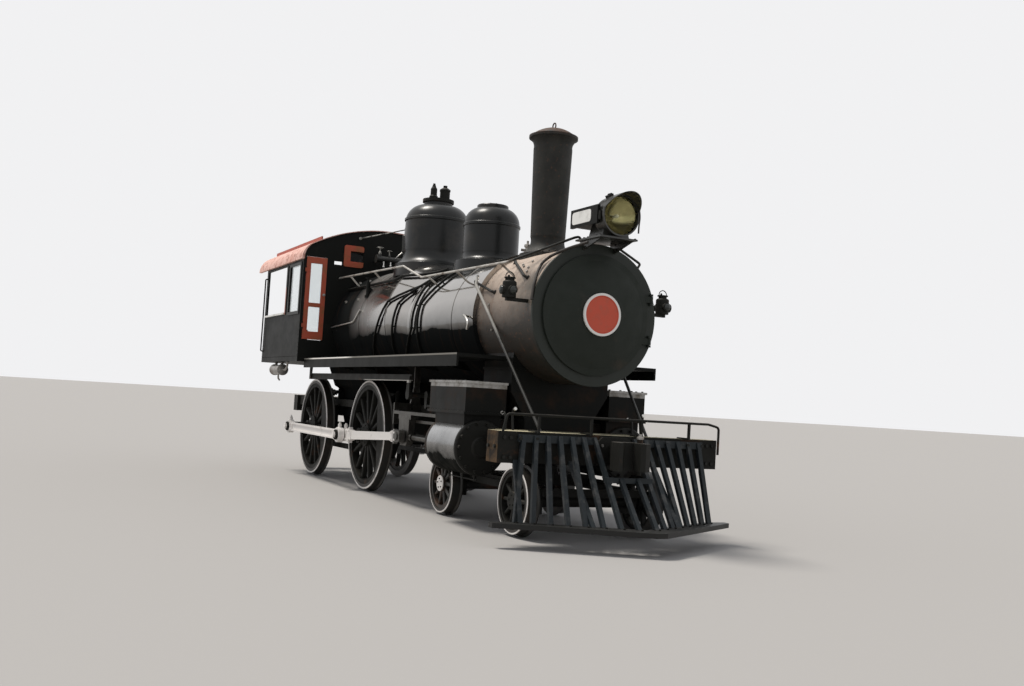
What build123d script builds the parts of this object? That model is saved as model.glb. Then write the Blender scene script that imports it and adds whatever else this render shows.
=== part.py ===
"""Steam locomotive with a leading truck and four coupled drivers, in separate pieces.

Frame: +X forward, +Y to the engine's left, +Z up, z = 0 at the lowest flange tips.
All sizes in millimetres. Long positions are measured from the front driving axle.
"""
import math
import os

from build123d import *

os.makedirs("parts", exist_ok=True)

# Ends of the engine, which set the middle of the saved frame
NOSE_X = 6190
ROOF_X0 = -4640
MID_X = (NOSE_X + ROOF_X0) / 2

# Levels and wheels
FLANGE = 28
RAIL_Z = FLANGE
DRIVER_R = 773
DRIVER_Z = RAIL_Z + DRIVER_R
DRIVER_XS = {"front": 0, "rear": -2668}
TRUCK_WHEEL_R = 345
TRUCK_WHEEL_Z = RAIL_Z + TRUCK_WHEEL_R
TRUCK_XS = {"rear": 2800, "front": 4681}
TRUCK_PIVOT_X = (TRUCK_XS["rear"] + TRUCK_XS["front"]) / 2
WHEEL_IN = 690
WHEEL_OUT = 828
TYRE_T = 68
TRUCK_TYRE_T = 45
AXLE_R = 90
TRUCK_AXLE_R = 62
CRANK_R = 305
RIGHT_CRANK_DEG = 186
LEFT_CRANK_DEG = 276
SPOKES = 14
TRUCK_SPOKES = 10

# Rod planes, measured outward from the centre line
MAIN_ROD_IN = 985
MAIN_ROD_OUT = 1062
SIDE_ROD_IN = 1080
SIDE_ROD_OUT = 1160
PIN_R = 52
PIN_GAP = 0.1
MAIN_ROD_LEN = 2155

# Cylinders and steam chests
CYL_Y = 925
CYL_Z = RAIL_Z + 840
CYL_R = 304
CYL_WALL = 24
CYL_X0 = 3200
CYL_X1 = 4020
CHEST_X0 = 3090
CHEST_X1 = 4080
CHEST_Y0 = 660
CHEST_Y1 = 1150
CHEST_Z0 = 1225
CHEST_Z1 = 1560
SADDLE_X0 = 3385
SADDLE_X1 = 4100
SADDLE_W = 620

# Frames
FR_IN = 495
FR_OUT = 590
FRAME_TOP = 1270
RAIL_T = 110
PEDESTAL_Z0 = 500
PEDESTAL_IN = 175
PEDESTAL_OUT = 285
FRONT_RAIL_Z = 790

# Boiler and smokebox
AX_Z = RAIL_Z + 2333
BARREL_R = 790
WAGON_R = 865
WAGON_Z = AX_Z + 75
CONE_X0 = 620
CONE_X1 = 1250
BAND_T = 5
BAND_W = 48
SMOKE_R = 750
SMOKE_T = 15
RING_R = 764
RING_T = 68
SMOKE_X0 = 3370
SMOKE_X1 = 4758
DOOR_R = 650
PLATE_R = 228

# Cab
CAB_X0 = -4170
CAB_X1 = -1845
CAB_W = 1400
CAB_Z0 = RAIL_Z + 1850
CAB_TOP = RAIL_Z + 4020
CAB_ROOF_R = 2600
CAB_CORNER_R = 260
WALL_T = 30
SILL_Z = CAB_Z0 + 740
HEAD_Z = CAB_Z0 + 1530
DOOR_Y0 = CAB_W - 384
DOOR_Y1 = CAB_W - 44
DOOR_Z0 = CAB_Z0 + 300
DOOR_Z1 = CAB_Z0 + 1620
BACKHEAD_X = -2560

# Running boards
BOARD_Z = CAB_Z0
BOARD_T = 40
BOARD_W = 1285
BOARD_X1 = 4080
VALANCE_H = 143

# Front end
BEAM_X1 = 5245
BEAM_X0 = 5005
BEAM_W = 1311
BEAM_Z0 = RAIL_Z + 765
BEAM_Z1 = RAIL_Z + 1074
DECK_Z = 1090


def box(x0, x1, y0, y1, z0, z1):
    return Pos((x0 + x1) / 2, (y0 + y1) / 2, (z0 + z1) / 2) * Box(
        abs(x1 - x0), abs(y1 - y0), abs(z1 - z0))


def cyl_x(x0, x1, y, z, r):
    return Pos((x0 + x1) / 2, y, z) * Rot(0, 90, 0) * Cylinder(r, abs(x1 - x0))


def cyl_y(x, y0, y1, z, r):
    return Pos(x, (y0 + y1) / 2, z) * Rot(90, 0, 0) * Cylinder(r, abs(y1 - y0))


def cyl_z(x, y, z0, z1, r):
    return Pos(x, y, (z0 + z1) / 2) * Cylinder(r, abs(z1 - z0))


def rod_between(a, b, r):
    """A round bar from point a to point b."""
    v = Vector(*b) - Vector(*a)
    plane = Plane(origin=a, z_dir=v.normalized())
    return plane * Pos(0, 0, v.length / 2) * Cylinder(r, v.length)


def flat_between(a, b, wide, deep, x_dir=(0, 1, 0)):
    """A flat bar from point a to point b, wide along x_dir."""
    v = Vector(*b) - Vector(*a)
    plane = Plane(origin=a, z_dir=v.normalized(), x_dir=x_dir)
    return plane * Pos(0, 0, v.length / 2) * Box(wide, deep, v.length)


def pipe(points, r, bend):
    """A round pipe along points with rounded bends."""
    path = FilletPolyline(*points, radius=bend)
    start = Plane(origin=path @ 0, z_dir=path % 0)
    return sweep(start * Circle(r), path=path)


def turned(profile, origin, axis="z"):
    """Revolves an outline of (radius, height) points about an upright or lengthwise axis.

    A step that holds two points is an arc through the first of them to the second.
    """
    lines = []
    here = profile[0]
    for step in profile[1:]:
        if isinstance(step[0], tuple):
            lines.append(ThreePointArc(here, step[0], step[1]))
            here = step[1]
        else:
            lines.append(Line(here, step))
            here = step
    lines.append(Line(here, profile[0]))
    solid = revolve(Plane.XZ * make_face(lines), Axis.Z)
    if axis == "x":
        solid = Rot(0, 90, 0) * solid
    return Pos(*origin) * solid


def dish(r, h0, h1):
    """A step of a turned outline over a spherical cap, from radius r to the axis."""
    sphere = (r ** 2 + (h1 - h0) ** 2) / (2 * (h1 - h0))
    return (r / 2, h1 - sphere + math.sqrt(sphere ** 2 - (r / 2) ** 2)), (0, h1)


def side_plate(points, y0, y1):
    """Extrudes a side-view outline of (x, z) points from y0 to y1."""
    face = make_face(Polyline(*points, close=True))
    solid = extrude(Plane.XZ * face, amount=abs(y1 - y0))
    return Pos(0, max(y0, y1), 0) * solid


def front_plate(points, x0, x1):
    """Extrudes a front-view outline of (y, z) points from x0 to x1."""
    face = make_face(Polyline(*points, close=True))
    return Pos(x0, 0, 0) * extrude(Plane.YZ * face, amount=x1 - x0)


def plan_plate(points, z0, z1):
    """Extrudes an outline of (x, y) points seen from above from z0 to z1."""
    face = make_face(Polyline(*points, close=True))
    return Pos(0, 0, z0) * extrude(face, amount=z1 - z0)


def flip(shape):
    """The same piece on the other side of the engine."""
    return mirror(shape, about=Plane.XZ)


def both(shape):
    return [shape, flip(shape)]


def join(parts):
    """Joins a list of overlapping solids into one."""
    result = parts[0]
    for part in parts[1:]:
        result = result + part
    return result


def save(name, *shapes):
    """Writes one node from one or more solids."""
    solids = []
    for shape in shapes:
        solids.extend((Pos(-MID_X, 0, 0) * shape).solids())
    export_step(Compound(children=solids), f"parts/{name}.step")
    print(name, len(solids), "solids")


def crank(deg):
    """A crank pin's offset from its axle."""
    a = math.radians(deg)
    return CRANK_R * math.cos(a), CRANK_R * math.sin(a)


# Driving wheels
RIM_T = 62
HUB_R = 165


def spoke(r0, r1, w0, w1, y0, y1, edge):
    """A tapered spoke along +X with chamfered long edges."""
    bar = side_plate([(r0, -w0 / 2), (r1, -w1 / 2), (r1, w1 / 2), (r0, w0 / 2)], y0, y1)
    long_edges = [e for e in bar.edges() if e.length > 0.8 * (r1 - r0)]
    return chamfer(long_edges, edge)


def driver_centre(side, deg, with_main):
    """One spoked driving wheel centre at the origin, with its crank pin."""
    rim_r = DRIVER_R - TYRE_T
    y0, y1 = WHEEL_IN + 15, WHEEL_OUT - 8
    px, pz = crank(deg)
    rim = cyl_y(0, y0, y1, 0, rim_r) - cyl_y(0, y0 - 1, y1 + 1, 0, rim_r - RIM_T)
    parts = [rim, cyl_y(0, y0 - 25, y1 + 22, 0, HUB_R)]
    bar = spoke(HUB_R - 45, rim_r - RIM_T + 12, 64, 46, y0 + 20, y1 - 18, 13)
    for i in range(SPOKES):
        parts.append(Rot(0, -360 * i / SPOKES, 0) * bar)
    # Crank boss and its tapered web
    parts.append(cyl_y(px, y0, y1 + 22, pz, 112))
    web = side_plate([(0, -130), (CRANK_R, -98), (CRANK_R, 98), (0, 130)], y0, y1 + 10)
    parts.append(Rot(0, -deg, 0) * web)
    # Counterweight opposite the crank
    weight = cyl_y(0, y0 + 4, y1 - 4, 0, rim_r - 30)
    weight = weight & (Rot(0, -deg, 0) * box(-rim_r, -430, 0, 900, -480, 480))
    parts.append(weight)
    # Crank pin with a collar behind the first rod and a cap outside
    first = MAIN_ROD_IN if with_main else SIDE_ROD_IN
    parts.append(cyl_y(px, y1 + 22, first - 6, pz, 78))
    parts.append(cyl_y(px, first - 6, SIDE_ROD_OUT + 6, pz, PIN_R))
    if with_main:
        parts.append(cyl_y(px, MAIN_ROD_OUT + 5, SIDE_ROD_IN - 5, pz, 70))
    parts.append(cyl_y(px, SIDE_ROD_OUT + 6, SIDE_ROD_OUT + 28, pz, 74))
    parts.append(cyl_y(px, SIDE_ROD_OUT + 28, SIDE_ROD_OUT + 62, pz, 34))
    wheel = join(parts)
    return wheel if side > 0 else flip(wheel)


def tyre(radius, thick, inner_y, outer_y):
    """A railway tyre turned about the axle, flange inboard."""
    r_in = radius - thick
    profile = [
        (r_in, inner_y), (radius + FLANGE, inner_y + 8), (radius + FLANGE, inner_y + 20),
        (radius + 4, inner_y + 34), (radius, outer_y - 4), (radius - 4, outer_y), (r_in, outer_y)]
    face = make_face(Polyline(*profile, close=True))
    return revolve(Plane.XY * face, Axis.Y)


for name, x in DRIVER_XS.items():
    left = driver_centre(1, LEFT_CRANK_DEG, name == "front")
    right = driver_centre(-1, RIGHT_CRANK_DEG, name == "front")
    axle = cyl_y(0, -WHEEL_IN - 10, WHEEL_IN + 10, 0, AXLE_R)
    save(f"{name}_driver_wheels", Pos(x, 0, DRIVER_Z) * join([left, axle, right]))
    ring = tyre(DRIVER_R, TYRE_T, WHEEL_IN, WHEEL_OUT)
    save(f"{name}_driver_tyres", *[Pos(x, 0, DRIVER_Z) * r for r in both(ring)])

# Side rods
SIDE_EYE_R = 108
SIDE_ROD_H = 68
OIL_CUP_R = 27


def oil_cup(x, y, z0, z1):
    return cyl_z(x, y, z0, z1, OIL_CUP_R) + cyl_z(x, y, z1, z1 + 18, 15)


def side_rod(deg):
    """The coupling rod on the +Y side, between the two crank pins."""
    px, pz = crank(deg)
    y0, y1 = SIDE_ROD_IN, SIDE_ROD_OUT
    x0, x1 = DRIVER_XS["rear"] + px, DRIVER_XS["front"] + px
    z = DRIVER_Z + pz
    bar = box(x0, x1, y0 + 12, y1 - 6, z - SIDE_ROD_H, z + SIDE_ROD_H)
    flute = box(x0 + 190, x1 - 190, y1 - 22, y1, z - SIDE_ROD_H + 26, z + SIDE_ROD_H - 26)
    parts = [bar - flute]
    for x, out in ((x0, 1), (x1, -1)):
        parts.append(cyl_y(x, y0, y1, z, SIDE_EYE_R))
        parts.append(side_plate([(x, z - 104), (x + out * 170, z - SIDE_ROD_H),
                                 (x + out * 170, z + SIDE_ROD_H), (x, z + 104)], y0 + 6, y1 - 3))
        parts.append(oil_cup(x, (y0 + y1) / 2, z + 90, z + 158))
    rod = join(parts)
    for x in (x0, x1):
        rod = rod - cyl_y(x, y0 - 1, y1 + 1, z, PIN_R + PIN_GAP)
    return rod


# Main rods
def main_rod(deg):
    """The connecting rod on the +Y side, big end on the pin, small end at the crosshead."""
    px, pz = crank(deg)
    y0, y1 = MAIN_ROD_IN, MAIN_ROD_OUT
    rise = CYL_Z - DRIVER_Z - pz
    tilt = math.degrees(math.asin(rise / MAIN_ROD_LEN))
    length = MAIN_ROD_LEN
    bar = side_plate([(0, -62), (length, -50), (length, 50), (0, 62)], y0 + 8, y1 - 8)
    big_end = side_plate([(-125, -70), (-100, -92), (170, -92), (330, -60), (330, 60), (170, 92),
                          (-100, 92), (-125, 70)], y0, y1)
    small_end = side_plate([(length - 260, -52), (length - 170, -74), (length + 60, -74),
                            (length + 92, -46), (length + 92, 46), (length + 60, 74),
                            (length - 170, 74), (length - 260, 52)], y0, y1)
    parts = [bar, big_end, small_end, oil_cup(0, (y0 + y1) / 2, 85, 150)]
    # Wedge keys through both straps
    parts.append(side_plate([(190, -112), (222, -112), (232, 112), (190, 112)], y0 + 12, y1 - 12))
    parts.append(side_plate([(length - 150, -92), (length - 126, -92), (length - 120, 92),
                             (length - 150, 92)], y0 + 12, y1 - 12))
    rod = join(parts) - cyl_y(0, y0 - 1, y1 + 1, 0, PIN_R + PIN_GAP)
    rod = rod + cyl_y(length, y0, y1 + 18, 0, 46)
    return Pos(px, 0, DRIVER_Z + pz) * Rot(0, -tilt, 0) * rod


save("rods_left", side_rod(LEFT_CRANK_DEG), main_rod(LEFT_CRANK_DEG))
save("rods_right", flip(side_rod(RIGHT_CRANK_DEG)), flip(main_rod(RIGHT_CRANK_DEG)))

# Guide bars with their end blocks and yoke
GUIDE_X0 = 1440
GUIDE_X1 = CYL_X0 - 60
GUIDE_Z0 = 1052
GUIDE_SLOT_Z0 = 1086
GUIDE_SLOT_Z1 = 1146
GUIDE_Z1 = 1186
YOKE_T = 30
guide = join([
    box(GUIDE_X0, GUIDE_X1, 866, 960, GUIDE_SLOT_Z1, GUIDE_Z1),
    box(GUIDE_X0, GUIDE_X1, 858, 885, GUIDE_Z0, GUIDE_SLOT_Z0),
    box(GUIDE_X1 - 50, GUIDE_X1, 866, 960, GUIDE_Z0, GUIDE_Z1)])
yoke = join([
    front_plate([(FR_OUT, 1290), (960, 1290), (960, 1010), (858, 1010), (840, 1130), (FR_OUT, 1130)],
                GUIDE_X0 - YOKE_T, GUIDE_X0),
    front_plate([(600, 1280), (740, 1280), (700, 1500), (700, BOARD_Z - BOARD_T),
                 (620, BOARD_Z - BOARD_T), (620, 1500)], GUIDE_X0 - YOKE_T, GUIDE_X0)])
save("guide_bars", *both(guide + yoke))


def wrist_x(deg):
    """Where the main rod's small end stands at rest."""
    px, pz = crank(deg)
    rise = CYL_Z - DRIVER_Z - pz
    return px + math.sqrt(MAIN_ROD_LEN ** 2 - rise ** 2)


# Crossheads with their piston rods
PISTON_ROD_R = 32


def crosshead(deg):
    x = wrist_x(deg)
    y0, y1 = 862, 972
    body = side_plate([(x - 90, CYL_Z - 110), (x + 100, CYL_Z - 110), (x + 150, CYL_Z - 60),
                       (x + 170, CYL_Z + 60), (x + 170, 1100), (x - 170, 1100),
                       (x - 170, CYL_Z + 90), (x - 120, CYL_Z - 60)], y0 + 28, y1)
    slipper = box(x - 210, x + 210, y0, y1 - 4, GUIDE_SLOT_Z0, GUIDE_SLOT_Z1)
    rod = cyl_x(x + 100, CYL_X0 - 80, CYL_Y, CYL_Z, PISTON_ROD_R)
    return join([body, slipper, rod, cyl_x(x + 150, x + 230, CYL_Y, CYL_Z, 48)])


save("crossheads", crosshead(LEFT_CRANK_DEG), flip(crosshead(RIGHT_CRANK_DEG)))

# Cylinders, steam chests, saddle and the truck's centre pin as one casting
smoke_bore = cyl_x(SADDLE_X0 - 200, SADDLE_X1 + 200, 0, AX_Z, SMOKE_R)
saddle = front_plate([(-430, 905), (430, 905), (430, 1200), (SADDLE_W, 1500), (SADDLE_W, 1768),
                      (SADDLE_W - 10, 1960), (10 - SADDLE_W, 1960), (-SADDLE_W, 1768),
                      (-SADDLE_W, 1500), (-430, 1200)], SADDLE_X0, SADDLE_X1)
flange_plate = box(SADDLE_X0, SADDLE_X1 + 14, -SADDLE_W - 20, SADDLE_W + 20, 1742, 1770)
block_parts = [saddle - smoke_bore, flange_plate - smoke_bore]
jackets = []
heads = []
for s in (1, -1):
    block_parts += [
        cyl_x(CYL_X0, CYL_X1, s * CYL_Y, CYL_Z, CYL_R - CYL_WALL),
        cyl_x(CYL_X0, CYL_X0 + 60, s * CYL_Y, CYL_Z, CYL_R),
        box(3300, 3880, s * 400, s * CYL_Y, 905, 1190),
        box(CYL_X0 + 10, CHEST_X1 - 70, s * (CHEST_Y0 + 20), s * (CHEST_Y1 - 30), 1080, CHEST_Z0 + 4),
        box(CHEST_X0, CHEST_X1, s * CHEST_Y0, s * CHEST_Y1, CHEST_Z0, CHEST_Z1),
        box(CHEST_X0 - 18, CHEST_X1 + 18, s * (CHEST_Y0 - 6), s * (CHEST_Y1 + 18), CHEST_Z0,
            CHEST_Z0 + 30),
        box(CHEST_X0 - 18, CHEST_X1 + 18, s * (CHEST_Y0 - 6), s * (CHEST_Y1 + 18), CHEST_Z1,
            CHEST_Z1 + 26),
        box(3330, 3850, s * 560, s * CHEST_Y0, 1300, 1500)]
    jackets.append(cyl_x(CYL_X0 + 60, CYL_X1, s * CYL_Y, CYL_Z, CYL_R)
                   - cyl_x(CYL_X0, CYL_X1 + 10, s * CYL_Y, CYL_Z, CYL_R - CYL_WALL)
                   - box(3000, 4100, s * 400, s * (CHEST_Y1 - 30), 1080, 1400)
                   - box(3250, 3900, s * 400, s * CYL_Y, 905, 1190))
    heads.append(turned([(0, 0), (CYL_R, 0), (CYL_R, 22), ((CYL_R - 12, 33), (CYL_R - 34, 36)),
                         (120, 42), ((102, 52), (94, 76)), (0, 84)], (CYL_X1, s * CYL_Y, CYL_Z), "x"))
    rear = cyl_x(CYL_X0 - 46, CYL_X0, s * CYL_Y, CYL_Z, 262)
    rear = rear + cyl_x(CYL_X0 - 80, CYL_X0 - 40, s * CYL_Y, CYL_Z, 92)
    heads.append(rear - cyl_x(CYL_X0 - 200, CYL_X0 + 10, s * CYL_Y, CYL_Z, PISTON_ROD_R + 2)
                 - box(CYL_X0 - 120, GUIDE_X1, s * 800, s * 1000, 1040, 1200))
CENTRE_PIN_R = 60
block_parts.append(cyl_z(TRUCK_PIVOT_X, 0, 450, 910, CENTRE_PIN_R))
block_parts.append(box(TRUCK_PIVOT_X - 200, TRUCK_PIVOT_X + 140, -430, 430, 700, 910))
save("cylinder_jackets", *jackets)
save("cylinder_heads", *heads)
save("cylinder_block", join(block_parts))

# Valve gear outside the frames: rockers, valve rods, reverse shaft and reach rod
ROCKER_X = 2420
ROCKER_Z = 1400
VALVE_Z = 1275
VALVE_Y = 905
REVERSE_X = 2150
REACH_Y = 1050
REACH_Z0 = 1565
REACH_Z1 = 1660
gear = []
for s in (1, -1):
    shaft = cyl_y(ROCKER_X, s * (FR_IN + 5), s * (VALVE_Y + 26), ROCKER_Z, 34)
    bearing = box(ROCKER_X - 90, ROCKER_X + 90, s * FR_IN, s * FR_OUT, FRAME_TOP, ROCKER_Z)
    bearing = bearing + cyl_y(ROCKER_X, s * FR_IN, s * (FR_OUT + 30), ROCKER_Z, 74)
    arm = side_plate([(ROCKER_X - 46, ROCKER_Z), (ROCKER_X + 46, ROCKER_Z), (ROCKER_X + 30, VALVE_Z),
                      (ROCKER_X - 30, VALVE_Z)], s * (VALVE_Y - 26), s * (VALVE_Y + 26))
    arm = arm + cyl_y(ROCKER_X, s * (VALVE_Y - 26), s * (VALVE_Y + 26), VALVE_Z, 36)
    stem = cyl_x(ROCKER_X, CHEST_X0 - 18, s * VALVE_Y, VALVE_Z, 24)
    gland = cyl_x(CHEST_X0 - 90, CHEST_X0 - 18, s * VALVE_Y, VALVE_Z, 46)
    gear.append(join([shaft, bearing, arm, cyl_y(ROCKER_X, s * (VALVE_Y - 26), s * (VALVE_Y + 26),
                                                 ROCKER_Z, 54), stem, gland]))
reverse_shaft = cyl_y(REVERSE_X, -REACH_Y - 22, FR_OUT, ROCKER_Z, 32)
for s in (1, -1):
    reverse_shaft = reverse_shaft + box(REVERSE_X - 60, REVERSE_X + 60, s * FR_IN, s * FR_OUT,
                                        FRAME_TOP, ROCKER_Z + 44)
reach = side_plate([(-2200, REACH_Z0), (-2200, REACH_Z1), (REVERSE_X + 60, REACH_Z1 - 8),
                    (REVERSE_X + 60, REACH_Z0 + 8)], -REACH_Y, -REACH_Y + 20)
lever = side_plate([(REVERSE_X - 56, ROCKER_Z), (REVERSE_X + 56, ROCKER_Z),
                    (REVERSE_X + 44, REACH_Z1 - 30), (REVERSE_X - 20, REACH_Z1 - 30)],
                   -REACH_Y - 22, -REACH_Y)
lever = lever + cyl_y(REVERSE_X, -REACH_Y - 22, -REACH_Y + 30, ROCKER_Z, 60)
hanger = side_plate([(-2230, CAB_Z0 - 50), (-2120, CAB_Z0 - 50), (-2160, REACH_Z0), (-2230, REACH_Z0)],
                    -REACH_Y - 22, -REACH_Y)
gear.append(join([reverse_shaft, reach, lever, hanger]))
save("valve_gear", *gear)

# Main frames
PEDESTAL_X1 = DRIVER_XS["front"] + PEDESTAL_OUT
PEDESTAL_X0 = DRIVER_XS["rear"] - PEDESTAL_OUT
BINDER_T = 70
RAIL_BOTTOM = FRAME_TOP - RAIL_T
rail_outline = [
    (-4400, FRAME_TOP), (CYL_X0, FRAME_TOP), (CYL_X0, FRONT_RAIL_Z), (PEDESTAL_X1 + 275, FRONT_RAIL_Z),
    (PEDESTAL_X1 + 45, PEDESTAL_Z0), (PEDESTAL_X0 - 17, PEDESTAL_Z0), (PEDESTAL_X0 - 247, RAIL_BOTTOM - 40),
    (-4400, RAIL_BOTTOM - 40)]
frame_left = side_plate(rail_outline, FR_IN, FR_OUT)
frame_left = frame_left - side_plate([
    (PEDESTAL_X1, RAIL_BOTTOM), (PEDESTAL_X1, PEDESTAL_Z0 + 120), (PEDESTAL_X1 + 215, FRONT_RAIL_Z + 90),
    (CYL_X0 - 120, FRONT_RAIL_Z + 90), (CYL_X0 - 120, RAIL_BOTTOM)], FR_IN - 1, FR_OUT + 1)
frame_left = frame_left - box(DRIVER_XS["rear"] + PEDESTAL_OUT, DRIVER_XS["front"] - PEDESTAL_OUT,
                              FR_IN - 1, FR_OUT + 1, PEDESTAL_Z0 + BINDER_T, RAIL_BOTTOM)
for x in DRIVER_XS.values():
    frame_left = frame_left - box(x - PEDESTAL_IN, x + PEDESTAL_IN, FR_IN - 1, FR_OUT + 1,
                                  PEDESTAL_Z0 + BINDER_T, RAIL_BOTTOM)
frame_left = frame_left + side_plate([
    (CYL_X0 - 20, FRONT_RAIL_Z), (3900, FRONT_RAIL_Z), (3960, 820), (BEAM_X0, 820), (BEAM_X0, 960),
    (3960, 960), (3900, 905), (CYL_X0 - 20, 905)], FR_IN, FR_OUT)
tie_parts = []
# Cross ties: back end, front end, bottom and top
for x0, x1, z0, z1 in ((420, 520, 800, 1260), (1500, 1600, 1160, 1270), (2350, 2450, 1160, 1270),
                       (4180, 4300, 830, 950), (-3120, -3020, 1160, 1260)):
    tie_parts.append(box(x0, x1, -FR_IN - 5, FR_IN + 5, z0, z1))
frames = join([frame_left, flip(frame_left)] + tie_parts)
# Rear drag casting with the drawbar pin's bore
DRAWBAR_X = -4530
drag = box(-4620, -4400, -640, 640, 1010, 1290)
drag = drag + box(-4400, -4260, -FR_IN, FR_IN, 1010, 1290)
drag = drag - box(-4700, -4440, -150, 150, 1090, 1200)
drag = drag - cyl_z(DRAWBAR_X, 0, 900, 1400, 36)
save("main_frame", frames + drag)

# Driving boxes, springs and their hangers
BOX_W = PEDESTAL_IN
boxes = []
spring_sets = []
# Spring leaves: half length and bottom
LEAVES = ((190, 1332), (270, 1352), (350, 1372), (430, 1392))
for x in DRIVER_XS.values():
    block_ = box(x - BOX_W, x + BOX_W, FR_IN - 8, FR_OUT + 8, 640, 990)
    block_ = block_ - box(x - BOX_W - 1, x + BOX_W + 1, 0, FR_IN, 600, 680)
    boxes.extend(both(block_ - cyl_y(x, 400, 700, DRIVER_Z, AXLE_R + PIN_GAP)))
    spring = [box(x - half, x + half, 508, 578, z, z + 20.5) for half, z in LEAVES]
    spring.append(box(x - 45, x + 45, 500, 586, 1318, 1424))
    for s in (-1, 1):
        spring.append(box(x + s * 400, x + s * 425, 526, 560, FRAME_TOP, 1430))
    spring.append(box(x - 34, x + 34, 520, 566, FRAME_TOP, 1330))
    spring_sets.extend(both(join(spring)))
save("driver_springs_and_boxes", *boxes, *spring_sets)

# Boiler in its jacket, with firebox and ash pan
barrel = cyl_x(CONE_X1, SMOKE_X0, 0, AX_Z, BARREL_R)
cone = loft([Plane(origin=(CONE_X1, 0, AX_Z), z_dir=(1, 0, 0)) * Circle(BARREL_R),
             Plane(origin=(CONE_X0, 0, WAGON_Z), z_dir=(1, 0, 0)) * Circle(WAGON_R)])
wagon = cyl_x(BACKHEAD_X, CONE_X0, 0, WAGON_Z, WAGON_R)
firebox_half = [(0, 1000), (475, 1000), (475, 1440), (560, 1490), (640, 1700), (740, 1950),
                (790, 2090), (0, 2200)]
FIREBOX_X0 = BACKHEAD_X + 80
FIREBOX_X1 = -190
firebox = front_plate(firebox_half, FIREBOX_X0, FIREBOX_X1)
ash_pan = side_plate([(FIREBOX_X0 + 60, 1010), (FIREBOX_X1 - 60, 1010), (FIREBOX_X1 - 330, 660),
                      (FIREBOX_X0 + 330, 660)], -400, 400)
# Jacket bands: place, radius and centre height
bands = []
for x, r, z in ((2700, BARREL_R, AX_Z), (CONE_X1 + 80, BARREL_R, AX_Z), (CONE_X0 - 60, WAGON_R, WAGON_Z),
                (-560, WAGON_R, WAGON_Z), (-1700, WAGON_R, WAGON_Z)):
    bands.append(cyl_x(x - BAND_W / 2, x + BAND_W / 2, 0, z, r + BAND_T))
bands.append(cyl_x(SMOKE_X0 - BAND_W, SMOKE_X0, 0, AX_Z, BARREL_R + 14))
boiler = join([barrel, cone, wagon, firebox, flip(firebox), ash_pan] + bands)
save("boiler", boiler)


def girth(x):
    """The boiler's radius and centre height at a place along it."""
    if x >= SMOKE_X0:
        return SMOKE_R, AX_Z
    t = min(max((x - CONE_X0) / (CONE_X1 - CONE_X0), 0), 1)
    return WAGON_R + t * (BARREL_R - WAGON_R), WAGON_Z + t * (AX_Z - WAGON_Z)


def on_boiler(x, deg, out, side=1):
    """A point above the jacket, deg up from level."""
    r, z = girth(x)
    a = math.radians(deg)
    return x, side * (r + out) * math.cos(a), z + (r + out) * math.sin(a)


# Domes and safety valves
SAND_X = 2035
sand = turned([(0, 3020), (470, 3020), (456, 3170), ((388, 3205), (366, 3290)), (364, 3630),
               (376, 3640), (376, 3668), (362, 3680), ((318, 3810), (205, 3886)), (205, 3920),
               (198, 3930), (0, 3940)], (SAND_X, 0, 0))
sand = sand - boiler
save("sand_dome", sand)
STEAM_X = 146
steam = turned([(0, 3100), (590, 3100), (572, 3290), ((486, 3370), (460, 3500)),
                (460, 3930), (474, 3942), (474, 3972), (456, 3984), ((372, 4128), (210, 4188)),
                (205, 4236), (0, 4236)], (STEAM_X, 0, 0))
save("steam_dome", steam - boiler)
valves = [cyl_z(STEAM_X, 0, 4236, 4282, 229)]
valves.append(turned([(0, 4280), (62, 4280), (62, 4330), (48, 4345), (48, 4440), (30, 4470),
                      (16, 4520), (0, 4524)], (STEAM_X, -82, 0)))
valves.append(turned([(0, 4280), (74, 4280), (74, 4420), (80, 4424), (80, 4448), (52, 4470),
                      (30, 4480), (30, 4510), (0, 4516)], (STEAM_X, 96, 0)))
save("safety_valves", join(valves))

# Steam turret ahead of the cab, and the whistle with its rod
TURRET_X = CAB_X1 + 395
TURRET_Z = WAGON_Z + WAGON_R + 229
WHISTLE_X = CAB_X1 + 695
WAGON_TOP = WAGON_Z + WAGON_R
# Valves on the turret: side, bonnet radius, height and wheel radius
TURRET_VALVES = ((-290, 28, 190, 56), (-130, 22, 150, 44), (130, 22, 150, 44), (290, 28, 190, 56))
turret = join([
    cyl_z(TURRET_X, 0, WAGON_TOP - 30, TURRET_Z, 46), cyl_z(TURRET_X, 0, WAGON_TOP - 30, WAGON_TOP + 22, 84),
    cyl_y(TURRET_X, -330, 330, TURRET_Z, 50), cyl_y(TURRET_X, -352, -330, TURRET_Z, 68),
    cyl_y(TURRET_X, 330, 352, TURRET_Z, 68)])
for y, bonnet_r, height, wheel_r in TURRET_VALVES:
    top = TURRET_Z + height
    valve = turned([(0, 0), (bonnet_r, 0), (bonnet_r, height - 90), (bonnet_r * 0.6, height - 70),
                    (9, height - 60), (9, height), (0, height)], (TURRET_X, y, TURRET_Z))
    wheel = Pos(TURRET_X, y, top - 8) * Torus(wheel_r - 8, 8)
    wheel = wheel + box(TURRET_X - wheel_r + 8, TURRET_X + wheel_r - 8, y - 6, y + 6, top - 14, top - 4)
    turret = turret + valve + wheel
for y in (-230, 230):
    turret = turret + cyl_x(CAB_X1, TURRET_X, y, TURRET_Z, 20)
whistle = turned([(0, WAGON_TOP - 30), (44, WAGON_TOP - 30), (44, WAGON_TOP + 90), (16, WAGON_TOP + 120),
                  (16, WAGON_TOP + 330), (38, WAGON_TOP + 350), (38, WAGON_TOP + 580),
                  ((30, WAGON_TOP + 612), (10, WAGON_TOP + 622)), (10, WAGON_TOP + 730),
                  (0, WAGON_TOP + 740)], (WHISTLE_X, 0, 0))
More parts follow.
